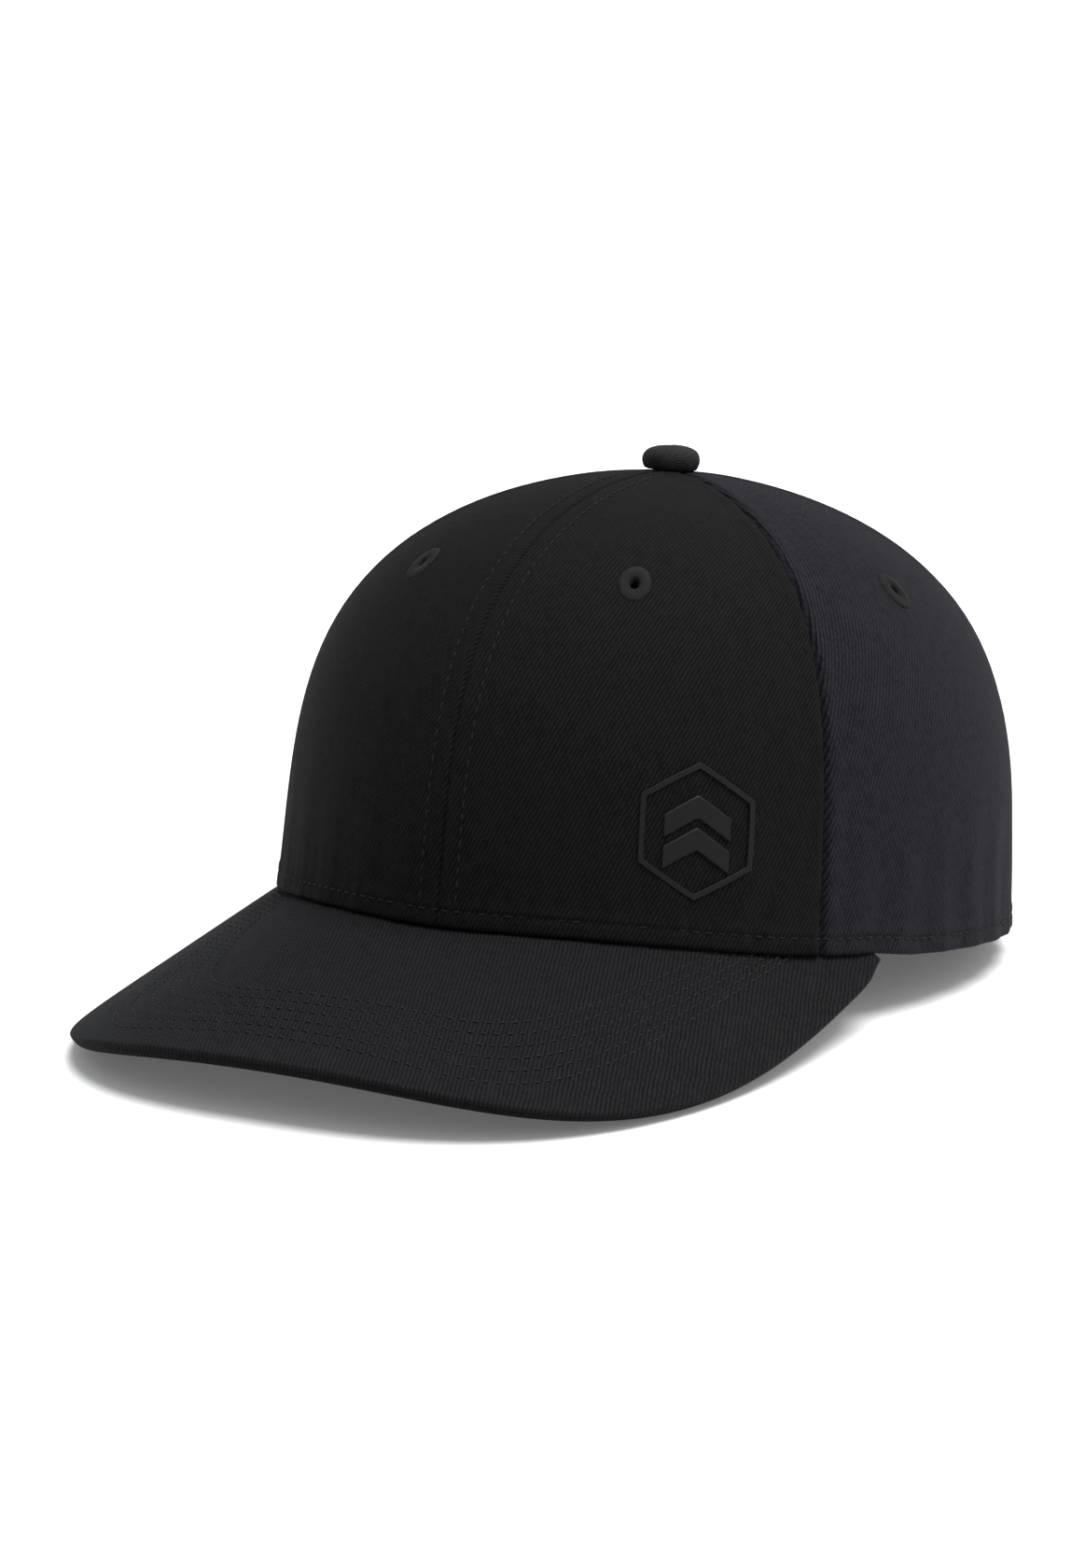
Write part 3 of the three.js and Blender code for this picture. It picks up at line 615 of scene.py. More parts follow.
PANELS = ("front_left", "side_left", "back_left", "back_right", "side_right", "front_right")
EYELET_HOLE, EYELET_THREADS = 2.1, 36
EDGE_STEPS = np.array([0, 0.25, 0.5, 0.8, 1.2, 1.7, 2.4, 3.1, 3.6, 4.0, 4.4, 4.9, 5.6, 6.6, 8.0])
HEM_STITCH = 4.1
HEM_ROLL = 1.1
CENTRE_STITCH = 3.9
PANEL_TOP_RADIUS = 3.4
CLOTH_SINK = 0.12  # how far the cloth lies under the ideal surface where nothing raises it


def arch_height(theta, grow):
    """How high the back opening reaches at an angle, 0 beside it."""
    half, tall = ARCH_HALF_WIDTH + grow, ARCH_HEIGHT + grow
    height = np.zeros_like(theta)
    for _ in range(12):
        x = back_radius(height, 0.0) * np.sin(theta)
        height = 0.5 * (height + tall * np.sqrt(np.clip(1 - (x / half) ** 2, 0, 1)))
    return np.where(np.abs(back_radius(0 * theta, 0.0) * np.sin(theta)) < half, height, 0)


def climb_table(theta, start, end, distances, spread):
    """Climbs at set distances in millimetres above start, then spread evenly to end, for each column."""
    climbs = np.zeros((len(distances) + spread, len(theta)))
    for i, angle in enumerate(theta):
        fine = start[i] + (end - start[i]) * np.linspace(0, 1, 500) ** 2.6
        run = np.linalg.norm(np.diff(crown(np.full(500, angle), fine), axis=0), axis=1)
        run = np.concatenate([[0], np.cumsum(run)])
        rest = np.linspace(distances[-1], run[-1], spread + 1)[1:]
        climbs[:, i] = np.interp(np.concatenate([distances, rest]), run, fine)
    return climbs


def panel_depth(s_left, s_right, up, centre_seam, seed, at_hem):
    """How far the cloth lies under the crown's ideal outside: seams, folds, stitch lines and ripples."""
    room = smooth(4, 26, s_left + s_right)
    depth = np.full_like(up, CLOTH_SINK)
    for s, stitched in ((s_left, centre_seam == "left"), (s_right, centre_seam == "right")):
        if stitched:
            depth += 0.75 * bell(s, 0.5)
            depth += 0.16 * bell(s - CENTRE_STITCH, 0.55) * room
        else:
            depth += 1.5 * bell(s, 0.7)
            depth -= 0.24 * bell(s - 2.6, 1.5) * room
    hem = np.broadcast_to(at_hem, up.shape)
    depth -= 0.3 * (1 - smooth(5.0, 7.0, up)) * hem
    depth += 0.26 * bell(up - HEM_STITCH, 0.6) * hem
    below = np.clip(HEM_ROLL - up, 0, HEM_ROLL)
    depth += (HEM_ROLL - np.sqrt(HEM_ROLL**2 - below**2)) * hem
    stiff = 0.45 if centre_seam else 1.0
    pucker = np.sin(s_left * 1.15 + 1.3 * ripple(s_left, up, 30, seed + 20)) * np.exp(-np.abs(up - 5) / 7)
    depth += 0.14 * pucker * hem
    depth += 0.55 * stiff * ripple(s_left, up, 75, seed + 3) * smooth(0, 14, np.minimum(s_left, s_right))
    drape = np.sin(s_left * 0.42 + 0.8 * ripple(s_left, up, 60, seed + 9))
    depth += 0.3 * stiff * drape * (1 - smooth(6, 46, up)) * smooth(0, 10, np.minimum(s_left, s_right))
    return depth


def add_panel(index, name):
    start, end = math.radians(SEAMS[index]), math.radians(SEAMS[index + 1])
    hem_width = HALF_WIDTH * (end - start)
    edge = EDGE_STEPS / hem_width
    middle = np.linspace(edge[-1], 1 - edge[-1], 56)[1:-1]
    share = np.concatenate([edge, middle, 1 - edge[::-1]])
    theta = start + (end - start) * share
    at_back = name.startswith("back")
    arch = arch_height(theta, BINDING_WIDTH - 1.6) if at_back else np.zeros_like(theta)
    bottom = np.maximum(climb_at(theta, np.maximum(arch, hem_height(theta))), 0)
    climb = climb_table(theta, bottom, climb_at_radius(PANEL_TOP_RADIUS), EDGE_STEPS, 40)
    angles = np.broadcast_to(theta, climb.shape)
    ideal = crown(angles, climb)
    run = np.linalg.norm(np.diff(ideal, axis=1), axis=2)
    across = np.concatenate([np.zeros((len(climb), 1)), np.cumsum(run, axis=1)], 1)
    rise = np.linalg.norm(np.diff(ideal, axis=0), axis=2)
    up = np.concatenate([np.zeros((1, len(theta))), np.cumsum(rise, axis=0)])
    width = across[:, -1:]
    centre_seam = {"front_left": "left", "front_right": "right"}.get(name)
    seed = {"front_left": 0, "front_right": 1}.get(name, index + 2)
    depth = panel_depth(across, width - across, up, centre_seam, seed, (arch < 1).astype(float))
    face = crown_at(angles, climb, depth)
    back = crown_at(angles, climb, np.maximum(depth, 0.1) + FABRIC)
    uv = np.stack([across - width / 2, up + arch], -1)
    # The front panels take the darker copy of the cloth, which carries their painted shade.
    material = SHADED_FRONT_TWILL if name.startswith("front") else SIDE_TWILL
    panel = sheet(f"panel_{name}", face, back, uv, material)
    phi = np.linspace(0, 2 * np.pi, 32, endpoint=False)
    along, up = EYELET_HOLE * np.cos(phi), EYELET_HOLE * np.sin(phi)
    cut_out(panel, [cutter(EYELETS[index], EYELET_HEIGHT, along, up, -3, 5)])
    dress(panel, "cap", "crown_twill", f"crown_panel_{name}")


def cutter(angle, height, along, up, outer, inner):
    """A closed shape through the crown's layers, given by its outline."""
    rings = np.stack([crown_near(angle, height, along, up, d + 0 * along) for d in (outer, inner)])
    return tube("cutter", rings, np.zeros(rings.shape[:2] + (2,)), None)


def crown_path(theta, height, depth):
    """Points and normals along a line of the crown, for stitches."""
    climb = climb_at(theta, height)
    return np.concatenate([crown_at(theta, climb, depth + 0 * theta), crown_normal(theta, climb)], 1)


def front_seam_path(offset, low, top_radius, depth):
    fine = np.linspace(0, 1, 260) ** 2.4
    start = float(climb_at(0, hem_height(0) + low))
    climb = start + (climb_at_radius(top_radius) - start) * fine
    angles = offset / width_per_radian(0, climb)
    return np.concatenate([crown_at(angles, climb, depth + 0 * climb), crown_normal(angles, climb)], 1)


def add_crown():
    for index, name in enumerate(PANELS):
        add_panel(index, name)
        add_eyelet(name, EYELETS[index])
    rows = [front_seam_path(side * CENTRE_STITCH, 5.5, 15, CLOTH_SINK) for side in (-1, 1)]
    end = np.pi - math.asin((ARCH_HALF_WIDTH + BINDING_WIDTH) / HALF_WIDTH) - 0.01
    theta = np.linspace(-end, end, 900)
    rows.append(crown_path(theta, hem_height(theta) + HEM_STITCH, CLOTH_SINK))
    dress(stitches("crown_topstitch", rows, THREAD), "cap", "eyelet_thread")


def add_eyelet(name, angle):
    """An embroidered eyelet: satin threads laid over a ring."""
    phi = np.linspace(0, 2 * np.pi, 192, endpoint=False)
    profile = np.array(
        [[1.05, 2.2], [1.05, 1.2], [1.1, 0.3], [1.4, -0.2], [1.85, -0.42], [2.4, -0.52], [2.95, -0.45],
         [3.35, -0.28], [3.65, -0.08], [3.85, 0.15], [3.85, 0.7], [3.2, 1.0], [2.3, 1.6], [2.0, 2.2]]
    )
    ridge = np.abs(np.sin(phi * EYELET_THREADS / 2 + 0.25 * np.sin(phi * 5)))
    around = eyelet_rings(phi, profile, ridge)
    rings = np.stack([crown_near(angle, EYELET_HEIGHT, *ring) for ring in around], 1)
    uv = np.stack(np.broadcast_arrays(phi[:, None] * 3, profile[None, :, 0]), -1)
    eyelet = tube(f"embroidered_eyelet_{name}", rings, uv, SATIN_THREAD, closed=True)
    dress(eyelet, "cap", "eyelet_thread", f"eyelet_{name}")


def eyelet_rings(phi, profile, ridge):
    """How far along, up and deep the points of each ring of an eyelet lie."""
    for radius, depth in profile:
        raised = depth < 0.5 and radius > 1.2
        lift = 0.16 * ridge if raised else 0 * ridge
        ragged = 0.12 * np.sin(phi * 17) * np.sin(phi * 7 + 1) if radius > 3.6 else 0
        yield (radius + ragged) * np.cos(phi), (radius + ragged) * np.sin(phi), depth - lift


def add_button():
    """The covered button, its cloth gathered round the foot."""
    phi = np.linspace(0, 2 * np.pi, 96, endpoint=False)
    profile = np.array(
        [[1.6, -2.6], [1.7, -0.3], [5.6, -0.1], [6.5, 0.25], [6.95, 1.0], [7.25, 2.0], [7.3, 3.0], [7.0, 4.0],
         [6.3, 4.9], [5.2, 5.5], [3.8, 5.95], [2.2, 6.15], [0.9, 6.2], [0.05, 6.2]]
    )
    gather = 0.16 * np.sin(9 * phi + 0.6 * np.sin(2 * phi)) + 0.08 * np.sin(5 * phi + 2)
    rings = []
    for radius, height in profile:
        fold = gather * (1 - smooth(1.5, 5.2, height)) * (radius > 2)
        dent = 0.12 * np.cos(2 * phi + 0.7) * (radius > 2)
        r = radius + fold + dent
        z = height + 0.1 * np.sin(phi + 1) * smooth(2, 5, height)
        rings.append(np.stack([r * np.cos(phi), r * np.sin(phi) - APEX_FORWARD, z + CROWN_HEIGHT], -1))
    rings = np.stack(rings)
    arc = np.concatenate([[0], np.cumsum(np.linalg.norm(np.diff(profile, axis=0), axis=1))])
    reach = arc[-1] - arc
    uv = np.stack([reach[:, None] * np.cos(phi), reach[:, None] * np.sin(phi)], -1)
    button = tube("covered_button", rings, uv, BUTTON_TWILL)
    dress(button, "cap", "crown_twill", "top_button")


def add_badge():
    """A plain hexagonal print with two chevrons."""

    def film(name, along, up, node, closed):
        depth = 0.02 * np.ones_like(along)
        grids = [crown_near(BADGE_ANGLE, BADGE_HEIGHT, along, up, depth + d) for d in (-0.3, 0.3)]
        piece = sheet(name, *grids, np.stack([along, up], -1), PRINT, closed)
        dress(piece, "cap", "badge_print", node)

    phi = np.linspace(0, 2 * np.pi, 180, endpoint=False)
    within = np.mod(phi, np.pi / 3) - np.pi / 6
    hexagon = 0.93 * np.cos(np.pi / 6) / np.cos(within) + 0.07 * 0.93
    reach = np.array([16.3, 16.1, 15.0, 14.8])[:, None] * hexagon
    turned = phi + np.pi / 2
    film("hexagon_print", reach * np.cos(turned), reach * np.sin(turned), "badge_ring", True)
    u, v = np.meshgrid(np.linspace(-1, 1, 41), np.linspace(-0.5, 0.5, 9))
    for part, height in (("upper", 3.4), ("lower", -4.2)):
        up = height - CHEVRON_RISE * (np.sqrt(u * u + 0.002) - 0.5) + CHEVRON_WIDTH * v
        film(f"chevron_print_{part}", CHEVRON_REACH * u, up, f"badge_chevron_{part}", False)


# ---------- Visor ----------

# One line per curve of the visor, from its edge inwards: half width, front, side and front exponents, and how
# much the half width grows towards the back. The last six are the rows of stitching.
VISOR_CURVES = np.array(
    [[86.5, -185.2, 2.79, 3.5, 0.0], [83.0, -181.7, 2.9, 3.6, 0.0]]
    + [[63.0 - 3.5 * k, -173.2 + 4.6 * k, 5.2, 5.2, 0.08 + 0.024 * k] for k in range(6)]
)
LAST_CURVE = len(VISOR_CURVES) - 1
VISOR_JOIN = 0.6  # how far below the top the two covers meet at the edge
VISOR_COVER = 0.6
VISOR_TUCK = 2.2


def inside_plan(x, y, inset):
    """Whether a point lies inside the front of the crown's plan, taken in by an inset."""
    inner = 1 - inset / math.hypot(HALF_WIDTH, FRONT_REACH) * 1.42
    side, forward = abs(x) / HALF_WIDTH / inner, abs(y) / FRONT_REACH / inner
    return side**FRONT_ROUNDNESS + forward**FRONT_ROUNDNESS < 1


def squircle(share, side_power, front_power):
    """Points of |side|^p + |forward|^q = 1 at even angles, for share from -1 to 1."""
    angle = np.abs(share) * np.pi / 2
    low, high = np.zeros_like(angle), np.full_like(angle, 1.5)
    for _ in range(40):
        middle = (low + high) / 2
        inside = (middle * np.sin(angle)) ** side_power + (middle * np.cos(angle)) ** front_power < 1
        low, high = np.where(inside, middle, low), np.where(inside, high, middle)
    return np.sign(share) * low * np.sin(angle), low * np.cos(angle)


def visor_curve(level, share):
    """The visor's outline at a level: 0 is its edge, and 2 to 7 are the rows of stitching."""
    stations = np.arange(len(VISOR_CURVES))
    half, front, side_power, front_power, spread = (
        np.interp(level, stations, VISOR_CURVES[:, k]) for k in range(VISOR_CURVES.shape[1])
    )
    low, high = front, 0.0
    for _ in range(40):
        middle = (low + high) / 2
        x = half + spread * (middle - front)
        if inside_plan(min(x, CORNER[0] - 1.6), middle, VISOR_TUCK):
            high = middle
        else:
            low = middle
    root = low
    side, forward = squircle(share, side_power, front_power)
    y = root + (front - root) * forward
    flare = 1 + 0.021 * np.sin(np.pi * forward) * (1 - smooth(0, 2, level))
    x = (half + spread * (y - front)) * side * flare
    pinch = 1.6 * bell(y - root, 6.0) * (1 - smooth(0, 2, level))
    return x - np.sign(side) * pinch * np.abs(side), y


def visor_grid(levels, share):
    """Rows of points for levels; a level past the last curve runs in to the hem."""
    rows = []
    last_x, last_y = visor_curve(LAST_CURVE, share)
    theta = share * root_angle(last_x[-1], last_y[-1])
    hem_x, hem_y = hem_plan(theta)
    inner = 1 - VISOR_TUCK / np.hypot(hem_x, hem_y)
    for level in levels:
        if level <= LAST_CURVE:
            rows.append(np.stack(visor_curve(level, share), -1))
            continue
        part = level - LAST_CURVE
        x = last_x + (hem_x * inner - last_x) * part
        y = last_y + (hem_y * inner - last_y) * part
        rows.append(np.stack([x, y], -1))
    return np.stack(rows)


def root_angle(x, y):
    """The crown angle whose hem point lies in the direction of (x, y)."""
    theta = np.linspace(0, np.pi / 2, 2000)
    plan_x, plan_y = hem_plan(theta)
    return float(np.interp(math.atan2(x, -y), np.arctan2(plan_x, -plan_y), theta))


def visor_normal(x, y):
    slope_x = (visor_height(x + 0.01, y) - visor_height(x - 0.01, y)) / 0.02
    return unit(np.stack([-slope_x, -VISOR_SLOPE + 0 * x, 1 + 0 * x], -1))


def visor_at(plan, depth):
    x, y = plan[..., 0], plan[..., 1]
    depth = np.asarray(depth, float)
    return np.stack([x, y, visor_height(x, y)], -1) - visor_normal(x, y) * depth[..., None]


def visor_levels():
    rolled = np.array([0.68, 0.82, 1.0])
    beside = np.array([-0.22, -0.12, -0.06, 0, 0.06, 0.12, 0.22])
    rows = [k + beside for k in range(2, LAST_CURVE + 1)]
    between = np.array([k + 0.5 for k in range(1, LAST_CURVE)])
    inner = LAST_CURVE + np.linspace(0.3, 1, 9)
    return np.unique(np.concatenate([rolled, between, inner, *rows]))


def visor_half(name, sign, material, nodes):
    """One cover of the visor, from the join in its rolled edge inwards; sign is 1 for the top."""
    corner = np.linspace(-1, 1, 241)
    share = np.sign(corner) * np.abs(corner) ** 0.9
    tall = VISOR_JOIN if sign > 0 else VISOR_THICKNESS - VISOR_JOIN
    steps = np.radians(np.linspace(0, 90, 8))
    roll = [(min(tall, 1.9) * (1 - np.cos(a)), tall * (1 - np.sin(a))) for a in steps]
    levels = visor_levels()
    outline = visor_grid([0.0], share)[0]
    inset = visor_grid([1.0], share)[0]
    inward = unit(inset - outline)
    outer, shift = [], []
    for back, drop in roll:
        outer.append(outline + inward * back)
        shift.append(np.full(len(share), drop))
    for row, level in zip(visor_grid(levels, share), levels):
        groove = sum(0.2 * bell((level - k) * 4.6, 0.6) for k in range(2, LAST_CURVE + 1))
        swell = 0.024 * math.cos(2 * math.pi * level) if 2 < level < LAST_CURVE else 0
        outer.append(row)
        shift.append(np.full(len(share), groove + swell))
    plan = np.stack(outer)
    drop = np.stack(shift)
    drop += 0.16 * ripple(plan[..., 0], plan[..., 1], 60, 40) * smooth(8, 12, np.arange(len(drop)))[:, None]
    if sign > 0:
        outside, inside = drop, np.minimum(drop + VISOR_COVER, VISOR_JOIN + 0.02)
    else:
        outside = VISOR_THICKNESS - drop
        inside = np.maximum(outside - VISOR_COVER, VISOR_JOIN + 0.04)
    cover = sheet(name, visor_at(plan, outside), visor_at(plan, inside), plan, material)
    dress(cover, "cap", "visor_twill", *nodes)


def add_visor():
    visor_half("visor_top_cloth", 1, VISOR_TWILL, ("visor_top_cover", "visor_board"))
    # The under cover takes the darker copy of the cloth, which carries painted shade.
    visor_half("visor_under_cloth", -1, SHADED_UNDER_TWILL, ("visor_under_cover",))
    share = np.linspace(-0.995, 0.995, 900)
    tops, unders = [], []
    for row in range(2, LAST_CURVE + 1):
        plan = np.stack(visor_curve(row, share), -1)
        normal = visor_normal(plan[:, 0], plan[:, 1])
        top, under = (visor_at(plan, np.full(len(share), d)) for d in (0.14, VISOR_THICKNESS - 0.14))
        tops.append(np.concatenate([top, normal], 1))
        unders.append(np.concatenate([under, -normal], 1))
    dress(stitches("visor_topstitch", tops, VISOR_THREAD, 3.0, 2.2, 0.22, 0.16), "cap", "eyelet_thread")
    dress(stitches("visor_understitch", unders, THREAD, 3.0, 1.6, 0.2, 0.1), "cap", "eyelet_thread")


# ---------- Inside: sweatband, tapes, shell and pads ----------


def add_sweatband():
    end = math.pi - math.asin((ARCH_HALF_WIDTH + BINDING_WIDTH) / HALF_WIDTH) - math.radians(1)
    theta = np.linspace(-end, end, 320)
    section = rounded_section(1, BAND, 0.5, steps=5, along=24)
    share = (section[:, 0] + 0.5).clip(0, 1)

    def place(angle, across, deep):
        low = hem_height(angle) + 0.4
        height = low + (BAND_HEIGHT - low) * share
        soft = 0.25 * ripple(angle * 90, height, 26, 60)
        puff = 0.3 * np.sin(np.pi * share) + soft
        sewn = -0.35 * bell((share - 0.93) * 33, 0.8) - 0.35 * bell((share - 0.08) * 33, 0.8)
        depth = BAND_DEPTH + BAND / 2 + deep * (0.85 + 0.25 * np.sin(np.pi * share))
        depth = depth + np.where(deep > 0, 0.25 * puff + sewn * 0.6, 0)
        angles = np.full(len(across), angle)
        return crown_at(angles, climb_at(angles, height), depth)

    band = swept("sweatband_cloth", theta, section, place, INNER_CLOTH)
    dress(band, "cap", "sweatband_cloth", "sweatband")
    rows = []
    for height in (BAND_HEIGHT - 2.4, 4.2):
        heights = np.maximum(height, hem_height(theta[2:-2]) + 3.2)
        path = crown_path(theta[2:-2], heights, BAND_DEPTH + BAND - 0.1)
        path[:, 3:] *= -1
        rows.append(path)
    dress(stitches("sweatband_stitches", rows, THREAD, 3.4, 2.4, 0.25, 0.15), "cap", "eyelet_thread")


def add_tapes():
    names = ("front", "front_left", "back_left", "back", "back_right", "front_right")
    section = rounded_section(TAPE_WIDTH, TAPE, TAPE / 2, steps=3, along=6)
    for name, angle in zip(names, SEAMS):
        theta = math.radians(angle)
        low = ARCH_HEIGHT + BINDING_WIDTH + 0.6 if name == "back" else float(hem_height(theta)) + 1.5
        start, end = float(climb_at(theta, low)), climb_at_radius(15)
        climbs = start + (end - start) * np.linspace(0, 1, 60) ** 1.8

        def place(climb, across, deep):
            angles = theta + across / width_per_radian(theta, climb)
            return crown_at(angles, np.full(len(across), climb), TAPE_DEPTH + deep)

        tape = swept(f"tape_{name}", climbs, section, place, TAPE_CLOTH)
        dress(tape, "cap", "cotton_tape", f"seam_tape_{name}")
    for side in ("left", "right"):
        frame["nodes"][f"front_stiffener_{side}"].data.materials[0] = SCRIM


def add_shell():
    theta = np.linspace(0, 2 * np.pi, 160, endpoint=False)
    rim = climb_at(theta, RIM_HEIGHT - RIM_SWING * np.cos(theta))
    top = climb_at_radius(2.5)
    lip = np.array([0, 0.004, 0.01, 0.02, 0.035])
    share = np.concatenate([lip, np.linspace(0.06, 1, 44)])
    climb = rim[None] + (top - rim[None]) * share[:, None]
    angles = np.broadcast_to(theta, climb.shape)
    tuck = 0.55 * (1 - smooth(0, 0.02, share))[:, None]
    face = crown_at(angles, climb, SHELL_DEPTH + tuck + 0 * climb)
    back = crown_at(angles, climb, SHELL_DEPTH + SHELL - tuck + 0 * climb)
    uv = np.stack([angles * 80, climb * 90], -1)
    shell = sheet("shell_moulding", face, back, uv, SHELL_PLASTIC, closed=True, poles=True)
    phi = np.linspace(0, 2 * np.pi, 40, endpoint=False)
    along = VENT_RADIUS * np.cos(phi)
    up = VENT_RADIUS * np.sin(phi) + VENT_STRAIGHT * np.sign(np.sin(phi))
    cut_out(shell, [cutter(angle, VENT_HEIGHT, along, 0.82 * up, 2.5, 10) for angle in VENTS])
    bevel = shell.modifiers.new("soft_edges", "BEVEL")
    bevel.width, bevel.segments = 0.0004, 2
    bevel.limit_method, bevel.angle_limit = "ANGLE", math.radians(50)
    dress(shell, "insert", "shell_plastic", "protective_shell")


# The angles and heights that each pad spans.
PAD_PATCHES = {
    "front": (-44, 44, 42, 63),
    "left": (72, 108, 50, 65),
    "right": (252, 288, 50, 65),
    "back": (156, 204, 60, 80),
}
PAD_SWELL = 0.0007  # the furthest that swelling moves a point, in metres


def puff(obj, limit, held):
    """Swells a closed pad by cloth pressure: no point moves further than limit, and held points stay."""
    start = np.array([v.co for v in obj.data.vertices])
    pinned = obj.vertex_groups.new(name="sewn")
    pinned.add(np.flatnonzero(held).tolist(), 1.0, "REPLACE")
    cloth = obj.modifiers.new("puff", "CLOTH")
    cloth.settings.quality = 6
    cloth.settings.mass = 0.15
    cloth.settings.use_pressure = True
    cloth.settings.uniform_pressure_force = 4
    cloth.settings.vertex_group_mass = "sewn"
    cloth.settings.tension_stiffness = 12
    cloth.settings.effector_weights.gravity = 0
    cloth.collision_settings.use_self_collision = False
    scene = bpy.context.scene
    for step in range(1, 21):
        scene.frame_set(step)
    swollen = bpy.data.meshes.new_from_object(obj.evaluated_get(bpy.context.evaluated_depsgraph_get()))
    end = np.array([v.co for v in swollen.vertices])
    move = end - start
    size = np.linalg.norm(move, axis=1, keepdims=True)
    move *= np.minimum(1, limit / np.maximum(size, 1e-9))
    obj.modifiers.clear()
    obj.vertex_groups.clear()
    for vertex, point in zip(obj.data.vertices, start + move):
        vertex.co = point
    bpy.data.meshes.remove(swollen)
    scene.frame_set(1)


def add_pad(name, theta, climb, edge, channel, uv, sewn, **shape):
    """A foam pad in stretch cloth: a flat back on the shell, and a crowned face sewn down round its edge.

    edge falls from 1 inside to 0 at the rim, channel is how deep the quilting pulls the face in, and sewn
    tells which points of the face the stitching holds.
    """
    seat = PAD_DEPTH + 0.25 * (1 - edge)
    crowned = PAD_DEPTH + 1.0 + (PAD - 1.7) * np.clip(edge, 0, 1) ** 0.45 - channel
    pad = sheet(name, crown_at(theta, climb, seat), crown_at(theta, climb, crowned), uv, PAD_CLOTH, **shape)
    held = np.concatenate([np.ones(edge.size, bool), sewn.ravel(), [True, False]])
    puff(pad, PAD_SWELL, held[: len(pad.data.vertices)])
    dress(pad, "insert", "pad_foam", name.replace("padding", "foam_pad"))


def add_band_pads():
    """Four pads in a ring, each a square of shares from -1 to 1 with its corners rounded."""
    u, v = np.meshgrid(np.linspace(-1, 1, 49), np.linspace(-1, 1, 25))
    edge = 1 - np.maximum(np.abs(u), np.abs(v)) ** 6
    channel = 0.5 * bell(v * 9, 1.0) * smooth(0, 0.3, edge)
    uv = np.stack([u * 40, v * 10], -1)
    sewn = (edge < 0.15) | (channel > 0.3)
    across, up = u * np.sqrt(1 - 0.18 * v**6), v * np.sqrt(1 - 0.18 * u**6)
    for name, (left, right, low, high) in PAD_PATCHES.items():
        theta = np.radians((left + right) / 2 + across * (right - left) / 2)
        climb = climb_at(theta, (low + high) / 2 + up * (high - low) / 2)
        add_pad(f"padding_{name}", theta, climb, edge, channel, uv, sewn)


def add_top_pad():
    """A round pad with one ring of quilting."""
    phi = np.linspace(0, 2 * np.pi, 96, endpoint=False)
    share = np.linspace(1, 0.06, 22)[:, None] + 0 * phi
    climb = np.arccos((TOP_PAD_RADIUS * share / HALF_WIDTH) ** (1 / SHRINK_SIDE))
    edge = 1 - share**6
    channel = 0.8 * bell((share - 0.5) * 40, 2.2)
    uv = np.stack([TOP_PAD_RADIUS * share * np.cos(phi), TOP_PAD_RADIUS * share * np.sin(phi)], -1)
    sewn = (edge < 0.2) | (channel > 0.5)
    add_pad("padding_top", phi + 0 * climb, climb, edge, channel, uv, sewn, closed=True, poles=True)


# ---------- Back closure ----------


def add_binding():
    angles = np.linspace(0, np.pi, 120)
    section = rounded_section(BINDING_WIDTH + 0.2, 1.95, 0.8, steps=5, along=8)
    half, tall = ARCH_HALF_WIDTH + BINDING_WIDTH / 2, ARCH_HEIGHT + BINDING_WIDTH / 2

    def arch(angle, grow, depth):
        x = (half + grow) * np.cos(angle)
        z = np.maximum((tall + grow) * np.sin(angle), 0.4)
        radius = back_radius(z, depth)
        return np.stack([x, np.sqrt(radius**2 - x * x), z], -1)

    def place(angle, across, deep):
        return arch(angle, across, 0.5 + deep)

    binding = swept("arch_binding", angles, section, place, TAPE_CLOTH)
    dress(binding, "cap", "cotton_tape", "opening_binding")
    fine = np.linspace(0.03, np.pi - 0.03, 300)
    row = facing_out(arch(fine, 1.2 + 0 * fine, -0.4 + 0 * fine))
    dress(stitches("binding_stitches", [row], THREAD, 2.8, 2.1, 0.27, 0.2), "cap", "eyelet_thread")


def facing_out(points):
    """Points of the round back with their normals, for stitches."""
    return np.concatenate([points, unit(points * [1, 1, 0])], 1)


def add_strap():
    angles = np.linspace(STRAP_FROM, STRAP_TO, 140)
    outer, inner = STRAP_DEPTH, STRAP_DEPTH + STRAP
    strap = back_strip("strap_webbing", angles, STRAP_LOW, STRAP_HIGH, outer, inner, STRAP_TWILL, 0.38, 10)
    dress(strap, "strap", "crown_twill", "adjuster_strap")
    fine = np.linspace(STRAP_FROM + 0.6, STRAP_TO - 0.6, 500)
    heights = (STRAP_LOW + 1.8, STRAP_HIGH - 1.8)
    rows = [facing_out(back_point(fine, height, STRAP_DEPTH + 0.02)) for height in heights]
    dress(stitches("strap_stitches", rows, THREAD, 2.8, 2.1, 0.2, 0.1), "strap", "eyelet_thread")


